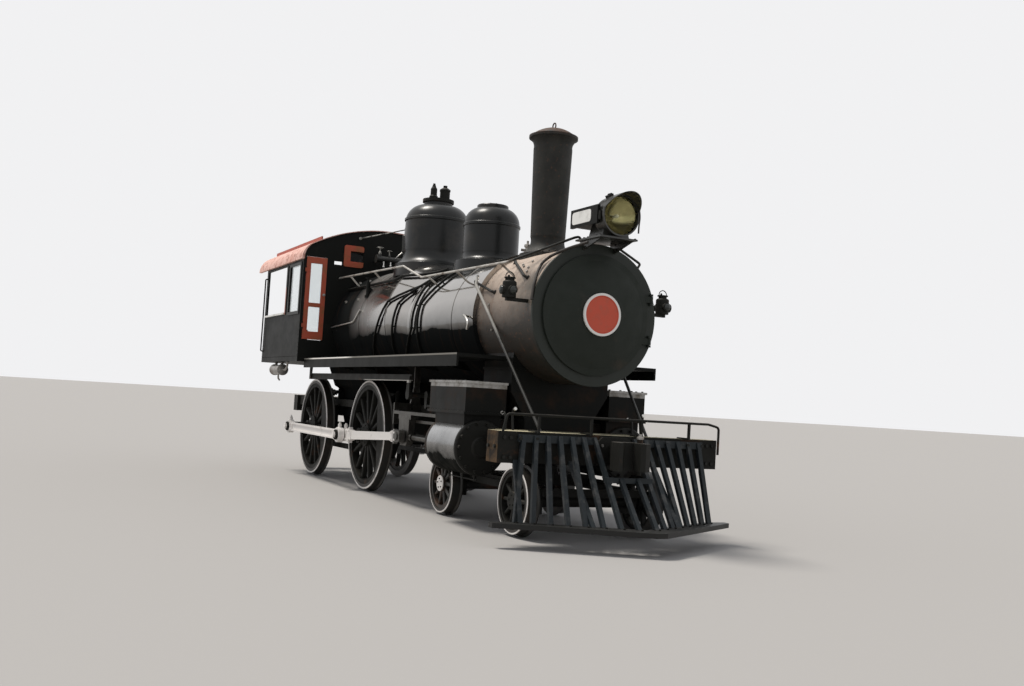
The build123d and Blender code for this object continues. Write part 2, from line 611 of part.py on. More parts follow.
whistle = whistle + rod_between((CAB_X1 + 8, -500, WAGON_TOP + 578), (WHISTLE_X, 0, WAGON_TOP + 700), 9)
whistle = whistle + cyl_x(CAB_X1, CAB_X1 + 14, -500, WAGON_TOP + 578, 24)
save("turret", turret - boiler, whistle - boiler)

# Sand pipes down the jacket and the injector's delivery pipe, held by clips
PIPE_DEGS = (54, 38, 16, -6, -33)
SAND_PIPE_R = 16
DELIVERY_R = 20
PIPE_STEPS = 3
# Places of each sand pipe along the boiler at the angles above
SAND_PIPES = ((1770, 1300, 640, 330, -90), (1690, 1290, 950, 870, 740),
              (1780, 1530, 1510, 1480, 1080), (2200, 2020, 1690, 1680, 1610))
DELIVERY = ((-1700, 40), (400, 40), (1000, 51), (1450, 66))


def laid_pipe(stations, r, clips):
    """A pipe close over the jacket through (place, angle) stations, on short clips."""
    route = []
    for (x0, a0), (x1, a1) in zip(stations, stations[1:]):
        steps = 1 if a0 == a1 else PIPE_STEPS
        for k in range(steps):
            t = k / steps
            route.append(on_boiler(x0 + t * (x1 - x0), a0 + t * (a1 - a0), r + 10))
    route.append(on_boiler(*stations[-1], r + 10))
    run = pipe(route, r, 60)
    for x, deg in clips:
        run = run + (rod_between(on_boiler(x, deg, -8), on_boiler(x, deg, r + 10), r * 0.6) - boiler)
    return run


pipes = []
for places in SAND_PIPES:
    stations = list(zip(places, PIPE_DEGS))
    pipes.append(laid_pipe(stations, SAND_PIPE_R, stations[1:4]))
pipes.append(laid_pipe(DELIVERY, DELIVERY_R, ((-1100, 40), (100, 40), (1000, 51))))
check_x, check_y, check_z = on_boiler(-480, 33, 60)
check = cyl_z(check_x, check_y, check_z - 110, check_z + 90, 30)
check = join([check, cyl_z(check_x, check_y, check_z - 140, check_z - 100, 46),
              cyl_z(check_x, check_y, check_z + 84, check_z + 150, 14),
              cyl_z(check_x, check_y, check_z + 146, check_z + 160, 44),
              rod_between(on_boiler(-480, 33, -20), (check_x, check_y, check_z), 34)]) - boiler
pipes.append(check)
save("boiler_pipes", *pipes, *[flip(p) for p in pipes])

# Smokebox shell with its front ring
shell = cyl_x(SMOKE_X0, SMOKE_X1 - 60, 0, AX_Z, SMOKE_R)
shell = shell + cyl_x(SMOKE_X1 - RING_T, SMOKE_X1, 0, AX_Z, RING_R)
shell = shell - cyl_x(SMOKE_X0 + 20, SMOKE_X1 - RING_T, 0, AX_Z, SMOKE_R - SMOKE_T)
shell = shell - cyl_x(SMOKE_X1 - 90, SMOKE_X1 + 10, 0, AX_Z, DOOR_R - 30)

# Smokebox door, dished, with its hinge straps
DOOR_X = SMOKE_X1 + 4
DISH_R = DOOR_R - 70
door = turned([(0, 10), (DOOR_R - 60, 0), (DOOR_R, 0), (DOOR_R, 24), (DISH_R, 36),
               dish(DISH_R, 36, 128)], (DOOR_X, 0, AX_Z), "x")
hinge_y = DOOR_R + 42
hinge_x = DOOR_X + 16
door = door - cyl_z(hinge_x, hinge_y, AX_Z - 400, AX_Z + 400, 40)
knuckles = []
for dz in (-230, 230):
    strap = box(hinge_x - 9, hinge_x + 9, 470, hinge_y, AX_Z + dz - 34, AX_Z + dz + 34)
    door = door + strap + cyl_z(hinge_x, hinge_y, AX_Z + dz - 34, AX_Z + dz + 34, 20)
    door = door - cyl_z(hinge_x, hinge_y, AX_Z + dz - 50, AX_Z + dz + 50, 10)
    knuckles.append(cyl_z(hinge_x, hinge_y, AX_Z + dz - 62, AX_Z + dz + 62, 9))
    for e in (-1, 1):
        lug = cyl_z(hinge_x, hinge_y, AX_Z + dz + e * 39, AX_Z + dz + e * 62, 20)
        lug = lug + box(SMOKE_X1, hinge_x, hinge_y - 14, hinge_y + 14, AX_Z + dz + e * 39,
                        AX_Z + dz + e * 62)
        knuckles.append(lug)
save("smokebox_door", door)
save("smokebox", join([shell] + knuckles))
plate = turned([(0, 0), (PLATE_R, 0), (PLATE_R, 20), (PLATE_R - 34, 20), (PLATE_R - 38, 14),
                (0, 14)], (DOOR_X + 124, 0, AX_Z), "x")
plate = plate + cyl_x(DOOR_X + 90, DOOR_X + 126, 0, AX_Z, 120)
save("number_plate", plate - door)

# Stack with its lid
STACK_X = 3591
STACK_TOP = 4530
smoke_outside = cyl_x(SMOKE_X0 - 370, SMOKE_X0 + 830, 0, AX_Z, SMOKE_R)
stack = turned([(0, 3040), (330, 3040), (322, 3120), ((232, 3180), (206, 3330)),
                (206, 3370), (230, 4376), ((238, 4450), (289, 4500)), (289, STACK_TOP),
                (270, STACK_TOP), dish(270, STACK_TOP, STACK_TOP + 102)], (STACK_X, 0, 0))
stack = stack - smoke_outside - cyl_x(SMOKE_X0 - 370, SMOKE_X0, 0, AX_Z, BARREL_R + 14)
ring_ = Pos(STACK_X, 0, 4660) * Rot(90, 0, 0) * Torus(36, 8)
save("stack", stack + ring_)

# Headlight on its shelf and gussets
LIGHT_Z = AX_Z + 1027
LIGHT_R = 212
RIM_R = 222
SHELF_Z = 3142
SHELF_X0 = SMOKE_X1 - 118
SHELF_X1 = SMOKE_X1 + 392
LENS_R = 206
shelf = box(SHELF_X0, SHELF_X1, -230, 230, SHELF_Z, SHELF_Z + 18)
gusset = [(SHELF_X0, 3040), (SMOKE_X1, 3040), (SHELF_X1 - 20, SHELF_Z), (SHELF_X0, SHELF_Z + 4)]
bracket = join([shelf, side_plate(gusset, -200, -180), side_plate(gusset, 180, 200)])
bracket = (bracket - cyl_x(SHELF_X0 - 100, SMOKE_X1, 0, AX_Z, RING_R)
           - box(SHELF_X0 - 10, SMOKE_X1 - RING_T, -300, 300, 3000, SHELF_Z))
stand = front_plate([(-170, SHELF_Z + 10), (170, SHELF_Z + 10), (110, LIGHT_Z), (-110, LIGHT_Z)],
                    SMOKE_X1 + 42, SMOKE_X1 + 322)
lamp_body = join([
    turned([(0, 0), (110, 0), (130, 12), (130, 90), ((170, 112), (LIGHT_R, 190)), (LIGHT_R, 344),
            (RIM_R, 350), (RIM_R, 372), (0, 372)], (SMOKE_X1 + 40, 0, LIGHT_Z), "x"),
    stand])
visor = cyl_x(SMOKE_X1 + 362, SMOKE_X1 + 642, 0, LIGHT_Z, RIM_R)
visor = visor - cyl_x(SMOKE_X1 + 342, SMOKE_X1 + 652, 0, LIGHT_Z, RIM_R - 8)
visor = visor - box(SMOKE_X1 + 242, SMOKE_X1 + 742, -300, 300, LIGHT_Z - 300, LIGHT_Z + 60)
visor = visor - side_plate([(SMOKE_X1 + 417, LIGHT_Z + 50), (SMOKE_X1 + 662, LIGHT_Z + 50),
                            (SMOKE_X1 + 662, LIGHT_Z + 250), (SMOKE_X1 + 644, LIGHT_Z + 250)],
                           -300, 300)
lamp_body = lamp_body + visor - cyl_x(SMOKE_X1 + 232, SMOKE_X1 + 442, 0, LIGHT_Z, LENS_R)
save("headlight_body", lamp_body + bracket)
glass = turned([(0, 0), (LENS_R, 0), (LENS_R, 14), dish(LENS_R, 14, 44)],
               (SMOKE_X1 + 368, 0, LIGHT_Z), "x")
save("headlight_glass", glass)
board_case = box(SMOKE_X1 - 228, SMOKE_X1 + 132, -200, 200, LIGHT_Z - 80, LIGHT_Z + 80)
for s in (1, -1):
    board_case = board_case + box(SMOKE_X1 - 228, SMOKE_X1 + 322, s * 206, s * 240, LIGHT_Z - 98,
                                  LIGHT_Z + 98)
    board_case = board_case + box(SMOKE_X1 - 228, SMOKE_X1 + 32, s * 190, s * 220, LIGHT_Z - 80,
                                  LIGHT_Z + 80)
save("number_boards", board_case - lamp_body - cyl_x(SMOKE_X1 + 92, SMOKE_X1 + 442, 0, LIGHT_Z, RIM_R)
     - bracket)

# Marker lamps with their brackets
LAMP_X = SMOKE_X1 - 158
LAMP_Y = SMOKE_R + 215
LAMP_Z = RAIL_Z + 2515
lamps = []
for s in (1, -1):
    lamp = turned([(0, -75), (74, -75), (74, 75), ((64, 96), (46, 100)), (46, 125), (60, 125),
                   (60, 137), (0, 140)], (LAMP_X, s * LAMP_Y, LAMP_Z))
    lamp = lamp + cyl_x(LAMP_X + 60, LAMP_X + 100, s * LAMP_Y, LAMP_Z, 48)
    lamp = lamp + cyl_x(LAMP_X - 100, LAMP_X - 60, s * LAMP_Y, LAMP_Z, 48)
    lamp = lamp + cyl_y(LAMP_X, s * (LAMP_Y + 60), s * (LAMP_Y + 95), LAMP_Z, 48)
    arm = box(LAMP_X - 20, LAMP_X + 20, s * 700, s * (LAMP_Y + 35), LAMP_Z - 110, LAMP_Z - 74)
    lamps.append(lamp + (arm - cyl_x(SMOKE_X0, SMOKE_X1 - RING_T, 0, AX_Z, SMOKE_R)))
save("marker_lamps", *lamps)


# Cab
def roof_z(y, top):
    """The arched roof's height at a distance from the centre line."""
    return top - CAB_ROOF_R + math.sqrt(CAB_ROOF_R ** 2 - y ** 2)


def cab_outline(w, z0, top, corner):
    """The cab's front view: flat floor, upright sides, arched roof."""
    eave = roof_z(w, top)
    arc = ThreePointArc((-w, eave), (0, top), (w, eave))
    walls = Polyline((w, eave), (w, z0), (-w, z0), (-w, eave))
    face = make_face([arc, walls])
    tips = [v for v in face.vertices() if v.Z > z0 + 100 or v.Y > z0 + 100]
    return fillet(tips, corner)


def cab_prism(w, z0, top, corner, x0, x1):
    return Pos(x0, 0, 0) * extrude(Plane.YZ * cab_outline(w, z0, top, corner), amount=x1 - x0)


ROOF_T = 12
WINDOW_X = ((-4060, -2760), (-2580, -1960))
SLOT_Y = (DOOR_Y0 - 241, DOOR_Y0 - 111)
HIGH_PANE_Y = (DOOR_Y0 - 586, DOOR_Y0 - 366)
HIGH_PANE_Z = (RAIL_Z + 3450, RAIL_Z + 3638)
outer = cab_prism(CAB_W, CAB_Z0, CAB_TOP - ROOF_T, CAB_CORNER_R, CAB_X0, CAB_X1)
inner = cab_prism(CAB_W - WALL_T, CAB_Z0 - 50, CAB_TOP - ROOF_T - WALL_T, CAB_CORNER_R - WALL_T,
                  CAB_X0 - 50, CAB_X1 - WALL_T)
cab = outer - inner
FRONT_WALL = (CAB_X1 - 2 * WALL_T, CAB_X1 + 20)
for s in (1, -1):
    for x0, x1 in WINDOW_X:
        cab = cab - box(x0, x1, s * (CAB_W - 100), s * (CAB_W + 100), SILL_Z, HEAD_Z)
    cab = cab - box(*FRONT_WALL, s * DOOR_Y0, s * DOOR_Y1, DOOR_Z0, DOOR_Z1)
    cab = cab - box(*FRONT_WALL, s * SLOT_Y[0], s * SLOT_Y[1], RAIL_Z + 3385, RAIL_Z + 3440)
    cab = cab - box(*FRONT_WALL, s * HIGH_PANE_Y[0], s * HIGH_PANE_Y[1], *HIGH_PANE_Z)
cab = cab - boiler
# Hinges of the front doors, with their pins on the cab
HINGE_PIN_R = 5
HINGE_R = 9
HINGE_X = CAB_X1 + 14
HINGE_Y = DOOR_Y1 + 4
HINGE_ZS = (DOOR_Z0 + 220, DOOR_Z1 - 220)
for s in (1, -1):
    for z in HINGE_ZS:
        cab = cab + cyl_z(HINGE_X, s * HINGE_Y, z - 60, z + 60, HINGE_PIN_R)
        for z0, z1 in ((z - 60, z - 32), (z + 32, z + 60)):
            cab = cab + cyl_z(HINGE_X, s * HINGE_Y, z0, z1, HINGE_R)
            cab = cab + box(CAB_X1 - 5, HINGE_X + 4, s * HINGE_Y, s * (HINGE_Y + 34), z0, z1)
save("cab_body", cab)

EAVE_Z = HEAD_Z + 40
roof_out = cab_prism(CAB_W + 42, CAB_Z0, CAB_TOP, CAB_CORNER_R + 30, ROOF_X0, CAB_X1 + 40)
roof_in = cab_prism(CAB_W, CAB_Z0 - 50, CAB_TOP - ROOF_T, CAB_CORNER_R, ROOF_X0 - 60, CAB_X1 + 80)
roof = roof_out - roof_in - box(ROOF_X0 - 160, CAB_X1 + 145, -CAB_W - 200, CAB_W + 200, 1500, EAVE_Z)
save("cab_roof", roof)

floor = box(CAB_X0, CAB_X1, -CAB_W, CAB_W, CAB_Z0 - 50, CAB_Z0) - boiler
for s in (1, -1):
    floor = floor + box(-3700, -2950, s * (CAB_W - 450), s * (CAB_W - WALL_T), CAB_Z0 - 10,
                        CAB_Z0 + 520)
save("cab_floor", floor)

# Window frames of the cab's sides and front
frames_red = []
panes = []
for s in (1, -1):
    y0, y1 = s * CAB_W, s * (CAB_W + 16)
    x0, x1 = WINDOW_X[1]
    side = box(x0 - 40, x1 + 40, y0, y1, SILL_Z - 40, HEAD_Z)
    frames_red.append(side - box(x0 + 10, x1 - 10, s * (CAB_W - 100), s * (CAB_W + 100),
                                 SILL_Z + 10, HEAD_Z - 45))
    frames_red.append(box(x0 - 180, x0 - 120, y0, s * (CAB_W + 20), SILL_Z - 10, HEAD_Z))
    py0, py1 = HIGH_PANE_Y
    c_frame = box(CAB_X1, CAB_X1 + 22, s * py0, s * (py1 + 105), HIGH_PANE_Z[0] - 80,
                  HIGH_PANE_Z[1] + 80)
    c_frame = fillet(c_frame.edges().filter_by(Axis.X), 36)
    frames_red.append(c_frame - box(CAB_X1 - 10, CAB_X1 + 40, s * (py0 - 30), s * py1,
                                    HIGH_PANE_Z[0] + 10, HIGH_PANE_Z[1] - 10))
    panes.append(box(x0, x1, s * (CAB_W - 18), s * (CAB_W - 12), SILL_Z, HEAD_Z))
    panes.append(box(CAB_X1 - 16, CAB_X1 - 10, s * py0, s * py1, *HIGH_PANE_Z))
save("cab_window_frames", *frames_red)
save("cab_glass", *panes)

# Front cab doors, glazed above and below
STILE = 70
for s, side in ((1, "left"), (-1, "right")):
    y0, y1 = DOOR_Y0 + 6, DOOR_Y1 - 6
    z0, z1 = DOOR_Z0 + 6, DOOR_Z1 - 6
    lights = ((z0 + 580, z1 - 100), (z0 + 125, z0 + 515))
    door_ = box(CAB_X1 - 26, CAB_X1 + 10, s * y0, s * y1, z0, z1)
    for low, high in lights:
        door_ = door_ - box(CAB_X1 - 60, CAB_X1 + 30, s * (y0 + STILE), s * (y1 - STILE), low, high)
    for z in HINGE_ZS:
        leaf = box(CAB_X1 + 6, HINGE_X + 4, s * (y1 - 60), s * HINGE_Y, z - 30, z + 30)
        leaf = leaf + cyl_z(HINGE_X, s * HINGE_Y, z - 30, z + 30, HINGE_R)
        door_ = door_ + leaf - cyl_z(HINGE_X, s * HINGE_Y, z - 31, z + 31, HINGE_PIN_R + PIN_GAP)
    for low, high in lights:
        door_ = door_ + box(CAB_X1 - 12, CAB_X1 - 6, s * (y0 + STILE), s * (y1 - STILE), low, high)
    save(f"cab_door_{side}", door_)

# Backhead fittings: fire door, throttle, gauge and water glass
fittings = join([
    cyl_x(BACKHEAD_X - 40, BACKHEAD_X, 0, WAGON_Z - 60, 250),
    box(BACKHEAD_X - 80, BACKHEAD_X, -150, 150, WAGON_Z - 520, WAGON_Z - 380),
    cyl_x(BACKHEAD_X - 120, BACKHEAD_X, -330, WAGON_Z + 180, 26),
    flat_between((BACKHEAD_X - 110, -330, WAGON_Z + 180), (BACKHEAD_X - 200, 60, WAGON_Z + 200), 40,
                 24, (0, 0, 1)),
    cyl_x(BACKHEAD_X - 90, BACKHEAD_X, 330, WAGON_Z + 330, 80),
    cyl_z(BACKHEAD_X - 60, 480, WAGON_Z - 60, WAGON_Z + 260, 16),
    cyl_x(BACKHEAD_X - 80, BACKHEAD_X, 480, WAGON_Z - 50, 22),
    cyl_x(BACKHEAD_X - 80, BACKHEAD_X, 480, WAGON_Z + 250, 22),
    cyl_x(BACKHEAD_X - 90, BACKHEAD_X, -60, WAGON_Z + 480, 95)])
save("backhead_fittings", *fittings.solids())

# Running boards with their valances and brackets
BOARD_ARMS = (-1300, -300, 700, 1700, 2700)
boards_ = []
for s in (1, -1):
    board = box(CAB_X1, SMOKE_X0 - 20, s * 560, s * BOARD_W, BOARD_Z - BOARD_T, BOARD_Z)
    board = board + box(SMOKE_X0 - 20, BOARD_X1, s * (SADDLE_W + 20), s * BOARD_W, BOARD_Z - BOARD_T,
                        BOARD_Z)
    board = board + box(CAB_X1, BOARD_X1, s * (BOARD_W - 24), s * BOARD_W, BOARD_Z - VALANCE_H,
                        BOARD_Z)
    for x in BOARD_ARMS:
        reach_in = 660 if x < CONE_X0 else 500
        board = board + front_plate([
            (s * reach_in, BOARD_Z - BOARD_T), (s * 1200, BOARD_Z - BOARD_T),
            (s * 1180, BOARD_Z - BOARD_T - 30), (s * reach_in, BOARD_Z - 150)], x, x + 30)
    boards_.append(board - boiler)
save("running_boards", *boards_)

# Front deck and buffer beam
DECK_X0 = SADDLE_X1 + 60
save("buffer_beam", box(BEAM_X0, BEAM_X1, -BEAM_W, BEAM_W, BEAM_Z0, BEAM_Z1))
deck = box(DECK_X0, BEAM_X0, -900, 900, DECK_Z - 28, DECK_Z)
for s in (1, -1):
    deck = deck + box(DECK_X0 + 140, BEAM_X0, s * FR_IN, s * FR_OUT, 960, DECK_Z - 28)
save("front_deck", deck)

# Pilot: foot frame, top rail, slats and braces
PILOT_TOP = BEAM_Z1 - 27
FOOT_Z0 = 190
FOOT_Z1 = 238
FOOT_END_X = 5330
FOOT_END_Y = 1400
FOOT_INNER_X = 5940
SLATS = 8
# Spacing of the slats at the beam and at the foot
SLAT_PITCH_TOP = 135
SLAT_PITCH_FOOT = 150
SLAT_W = 46
SLAT_T = 42
foot_half = [(FOOT_INNER_X, 0), (NOSE_X, 0), (NOSE_X, 60), (FOOT_END_X + 80, FOOT_END_Y),
             (FOOT_END_X, FOOT_END_Y), (FOOT_END_X, 1130)]
foot = plan_plate(foot_half, FOOT_Z0, FOOT_Z1)
pilot_parts = [foot, flip(foot), box(BEAM_X1, BEAM_X1 + 34, -1100, 1100, PILOT_TOP - 75, PILOT_TOP)]
for i in range(SLATS):
    top_y = 100 + SLAT_PITCH_TOP * i
    foot_y = 100 + SLAT_PITCH_FOOT * i
    foot_x = FOOT_INNER_X + 70 - 0.54 * foot_y
    slat = flat_between((BEAM_X1 + 22, top_y, PILOT_TOP - 8), (foot_x, foot_y, FOOT_Z1 - 20), SLAT_W,
                        SLAT_T)
    pilot_parts.extend(both(slat))
for y, foot_x in ((420, 5770), (1040, 5440)):
    brace = flat_between((BEAM_X1 - 4, y + 74, BEAM_Z0 + 30), (foot_x, y + 74, FOOT_Z0 + 20), 50, 30)
    pilot_parts.extend(both(brace))
pilot_parts.append(box(5535, 5590, -270, 270, 648, 700))
pilot = join(pilot_parts) - box(4900, BEAM_X1, -1400, 1400, 0, 1400)
pilot = pilot - box(BEAM_X1 - 10, 5900, -222, 222, 700, 1110)
save("pilot", pilot)

# Coupler: pocket, shank, guard arm and knuckle
COUPLER_Z0 = 730
COUPLER_Z1 = 1088
shank = box(BEAM_X1, 5430, -75, 75, 830, 990)
pocket = front_plate([(-195, 800), (195, 800), (195, 1040), (150, 1085), (-150, 1085), (-195, 1040)],
                     BEAM_X1, BEAM_X1 + 46)
head = plan_plate([(5400, -90), (5470, -170), (5560, -205), (5690, -205), (5690, -160),
                   (5590, -130), (5560, -60), (5560, 40), (5600, 90), (5590, 160), (5500, 175),
                   (5430, 110), (5400, 90)], 770, 1050)
knuckle = plan_plate([(5530, 60), (5600, 30), (5700, 40), (5715, 90), (5680, 165), (5540, 165)],
                     COUPLER_Z0 + 40, COUPLER_Z1 - 40)
coupler = join([shank, pocket, head, knuckle, cyl_z(5560, 115, COUPLER_Z0, COUPLER_Z1, 30)])
save("coupler", coupler)

# Braces from the deck to the smokebox
BRACE_R = 17
BRACE_TOP = (3400, 800, RAIL_Z + 2680)
braces = []
for s in (1, -1):
    top = (BRACE_TOP[0], s * BRACE_TOP[1], BRACE_TOP[2])
    brace = rod_between((4890, s * 650, DECK_Z - 4), top, BRACE_R)
    brace = brace + rod_between(top, (3352, s * 760, RAIL_Z + 2790), BRACE_R)
    brace = brace - cyl_x(3200, SMOKE_X0 - 1, 0, AX_Z, BARREL_R + 14)
    brace = brace - box(4800, 5000, -900, 900, 900, DECK_Z)
    braces.append(brace - cyl_x(3000, 4800, 0, AX_Z, SMOKE_R))
save("smokebox_braces", *braces)

# Uncoupling rod across the front
ROD_X = BEAM_X1 + 55
lever = pipe([(ROD_X, 1290, 950), (ROD_X, 1290, 1240), (ROD_X, 1150, 1270), (ROD_X, -1250, 1270),
              (ROD_X, -1290, 1100)], 13, 40)
posts = []
for y in (-900, -300, 300, 900):
    posts.append(box(ROD_X - 12, ROD_X + 12, y - 12, y + 12, BEAM_Z1 - 7, 1262))
    posts.append(box(BEAM_X0 + 100, ROD_X + 12, y - 12, y + 12, BEAM_Z1, BEAM_Z1 + 14))
save("uncoupling_rod", join([lever] + posts))

# Handrails on the boiler, with their posts
RAIL_R = 14
RAIL_Y = 800
RAIL_POSTS = (-1300, -200, 1900, 2800, 4000)
RAIL_BACK = (CAB_X1, 3200)
RAIL_DIP = ((1000, 3140), (1700, 2930))
RAIL_FRONT = (4200, 2900)


def rail_z(x):
    """The handrail's height on its two straight lengths."""
    (x0, z0), (x1, z1) = (RAIL_BACK, RAIL_DIP[0]) if x < RAIL_DIP[0][0] else (RAIL_DIP[1], RAIL_FRONT)
    return z0 + (z1 - z0) * (x - x0) / (x1 - x0)


rails_ = []
for s in (1, -1):
    line = [(x, s * RAIL_Y, z) for x, z in (RAIL_BACK, *RAIL_DIP, RAIL_FRONT)]
    rail = pipe(line + [(4600, s * 640, 3000), (4620, s * 240, SHELF_Z + 40)], RAIL_R, 60)
    for x in RAIL_POSTS:
        z = rail_z(x)
        r, mid = girth(x)
        ang = math.atan2(z - mid, RAIL_Y)
        foot_ = (x, s * (r - 4) * math.cos(ang), mid + (r - 4) * math.sin(ang))
        rail = rail + rod_between(foot_, (x, s * (RAIL_Y - 5), z), RAIL_R - 1)
    rail = rail - boiler - cab
    rail = rail - cyl_x(SMOKE_X0, SMOKE_X1 - 60, 0, AX_Z, SMOKE_R)
    rail = rail - cyl_x(SMOKE_X1 - RING_T, SMOKE_X1, 0, AX_Z, RING_R)
    rails_.append(rail - lamp_body - bracket)
save("handrails", *rails_)

# Truck: side frames with their pedestals, bolster and centre bearing
JAW_W = 130
TRUCK_X0 = TRUCK_XS["rear"] - 240
TRUCK_X1 = TRUCK_XS["front"] + 240
side_outline = [(TRUCK_X0, 520), (TRUCK_X1, 520), (TRUCK_X1, 440)]
for x in (TRUCK_XS["front"], TRUCK_XS["rear"]):
    side_outline += [(x + JAW_W + 40, 440), (x + JAW_W, 400), (x + JAW_W, 250), (x - JAW_W, 250),
                     (x - JAW_W, 400), (x - JAW_W - 40, 440)]
side_outline.append((TRUCK_X0, 440))
side_bar = side_plate(side_outline, 540, 615)
for x in TRUCK_XS.values():
    side_bar = side_bar - cyl_y(x, 400, 700, TRUCK_WHEEL_Z, TRUCK_AXLE_R + PIN_GAP)
equalizer = side_plate([(TRUCK_PIVOT_X - 620, 560), (TRUCK_PIVOT_X + 620, 560), (TRUCK_PIVOT_X + 560, 515),
                        (TRUCK_PIVOT_X - 560, 515)], 560, 600)
side_bar = side_bar + equalizer
truck_parts = both(side_bar)
truck_parts.append(box(TRUCK_PIVOT_X - 170, TRUCK_PIVOT_X + 170, -545, 545, 470, 600))
truck_parts.append(cyl_z(TRUCK_PIVOT_X, 0, 500, 690, 190))
truck_parts.append(box(TRUCK_X0, TRUCK_X0 + 60, -545, 545, 440, 520))
truck_parts.append(box(TRUCK_X1 - 60, TRUCK_X1, -545, 545, 440, 520))
truck_frame = join(truck_parts) - cyl_z(TRUCK_PIVOT_X, 0, 400, 800, CENTRE_PIN_R + PIN_GAP)
save("truck_frame", truck_frame)

# Truck wheels
for name, x in TRUCK_XS.items():
    rim_r = TRUCK_WHEEL_R - TRUCK_TYRE_T
    y0, y1 = WHEEL_IN + 15, WHEEL_OUT - 10
    parts = [cyl_y(0, y0, y1, 0, rim_r) - cyl_y(0, 0, 900, 0, rim_r - 40)]
    parts.append(cyl_y(0, y0 - 25, y1 + 20, 0, 92))
    bar = spoke(60, rim_r - 32, 46, 34, y0 + 20, y1 - 14, 10)
    for i in range(TRUCK_SPOKES):
        parts.append(Rot(0, -360 * i / TRUCK_SPOKES, 0) * bar)
    wheel = join(parts)
    axle = cyl_y(0, -WHEEL_IN - 10, WHEEL_IN + 10, 0, TRUCK_AXLE_R)
    save(f"truck_{name}_wheels", Pos(x, 0, TRUCK_WHEEL_Z) * join([wheel, axle, flip(wheel)]))
    ring = tyre(TRUCK_WHEEL_R, TRUCK_TYRE_T, WHEEL_IN, WHEEL_OUT)
    save(f"truck_{name}_tyres", *[Pos(x, 0, TRUCK_WHEEL_Z) * r for r in both(ring)])
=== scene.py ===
"""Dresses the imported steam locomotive: paint and weathering, rivets, bolts, lamps and small fittings."""

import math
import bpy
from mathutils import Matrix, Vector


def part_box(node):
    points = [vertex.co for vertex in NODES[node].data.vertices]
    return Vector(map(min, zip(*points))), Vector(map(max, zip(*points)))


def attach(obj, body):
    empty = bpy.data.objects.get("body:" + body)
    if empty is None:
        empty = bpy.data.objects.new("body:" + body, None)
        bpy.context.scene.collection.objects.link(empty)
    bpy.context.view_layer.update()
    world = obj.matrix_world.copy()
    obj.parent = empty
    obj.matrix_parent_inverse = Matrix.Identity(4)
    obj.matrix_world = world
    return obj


bl_info = {
    "name": "Steam Locomotive Dressing",
    "version": (1, 0, 0),
    "blender": (4, 5, 0),
    "location": "View3D > Sidebar > Locomotive",
    "description": "Paint, rivets, lamps and fittings on a packed steam locomotive",
    "category": "Object",
}

import bmesh
import bpy
from bpy.props import FloatProperty, FloatVectorProperty, IntProperty, PointerProperty
from mathutils import Matrix, Vector

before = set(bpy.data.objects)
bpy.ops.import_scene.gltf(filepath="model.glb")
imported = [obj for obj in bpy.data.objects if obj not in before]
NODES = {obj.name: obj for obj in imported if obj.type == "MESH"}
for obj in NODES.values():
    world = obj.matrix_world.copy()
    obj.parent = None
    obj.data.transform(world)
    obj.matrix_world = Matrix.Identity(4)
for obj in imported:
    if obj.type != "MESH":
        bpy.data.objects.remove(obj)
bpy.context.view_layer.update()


def middle(corners):
    return (corners[0] + corners[1]) / 2


def half_height(corners):
    return (corners[1].z - corners[0].z) / 2


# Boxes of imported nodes, and what follows from them, in metres
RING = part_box("smokebox")
AXIS_Z = middle(RING).z
RING_X = RING[1].x
SMOKE_R = half_height(RING) - 0.014
SMOKE_X0 = RING[0].x
PLATE_R = half_height(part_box("number_plate"))
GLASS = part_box("headlight_glass")
LIGHT_Z = middle(GLASS).z
LIGHT_R = half_height(GLASS)
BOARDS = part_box("number_boards")
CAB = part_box("cab_body")
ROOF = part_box("cab_roof")
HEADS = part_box("cylinder_heads")
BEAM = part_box("buffer_beam")
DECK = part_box("front_deck")
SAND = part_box("sand_dome")
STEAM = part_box("steam_dome")
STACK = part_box("stack")
RUN_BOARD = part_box("running_boards")
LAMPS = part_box("marker_lamps")
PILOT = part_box("pilot")
FRONT_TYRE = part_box("front_driver_tyres")
REAR_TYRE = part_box("rear_driver_tyres")
TRUCK_TYRES = {"truck_front_axle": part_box("truck_front_tyres"), "truck_rear_axle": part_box("truck_rear_tyres")}

# Sizes of the design that no box gives, in metres
FLANGE = 0.028  # from a tyre's tread to its flange's edge
LID_Z = 1.586  # top of the steam chests' lids
LID_IN_Y = 0.648  # inner edge of the lids
DOOR_PANE_X = -2.632  # where the cab doors' clear lights start
SASH_X = -3.50  # the side windows' red upright lies behind this
HIGH_PANE_Z = 3.475  # where the cab's high front panes start
BARREL_R = 0.79  # boiler barrel ahead of the firebox
WAGON_R = 0.865  # wagon top over the firebox
WAGON_Z = AXIS_Z + 0.075  # the wagon top's axis
TOP_VALVE_X = 2.314
STACK_FOOT_R = 0.325
SHELF_Z = 3.160  # top of the headlight's shelf
CYLINDER_Z = 0.868  # height of the cylinders' axes
CYLINDER_IN = 0.304  # from the heads' outer edge in to the cylinder's axis
PIN_FACE_Y = 1.186  # outer face of the crank pins
HUB_FACE_Y = 0.84  # outer face of the drivers' hubs
TRUCK_HUB_Y = 0.837  # outer face of the truck wheels' hubs
MAIN_ROD_Y = 1.0615  # outer face of the main rods
SIDE_ROD_Y = 1.1565  # outer face of the side rods
CRANK_R = 0.305
CRANKS = {"left": (1, math.radians(276)), "right": (-1, math.radians(186))}
MAIN_ROD = 2.155  # between the main rod's two eyes
FRAME_Y = 0.589  # outer face of the main frame
TRUCK_FRAME_Y = 0.614  # outer face of the truck's frame
PILOT_NOSE_X = 5.28  # the pilot's bolts fall back from here
PILOT_SLANT = 0.54  # and by this much for each metre outward
BACKHEAD_X = -3.335  # rear face of the backhead
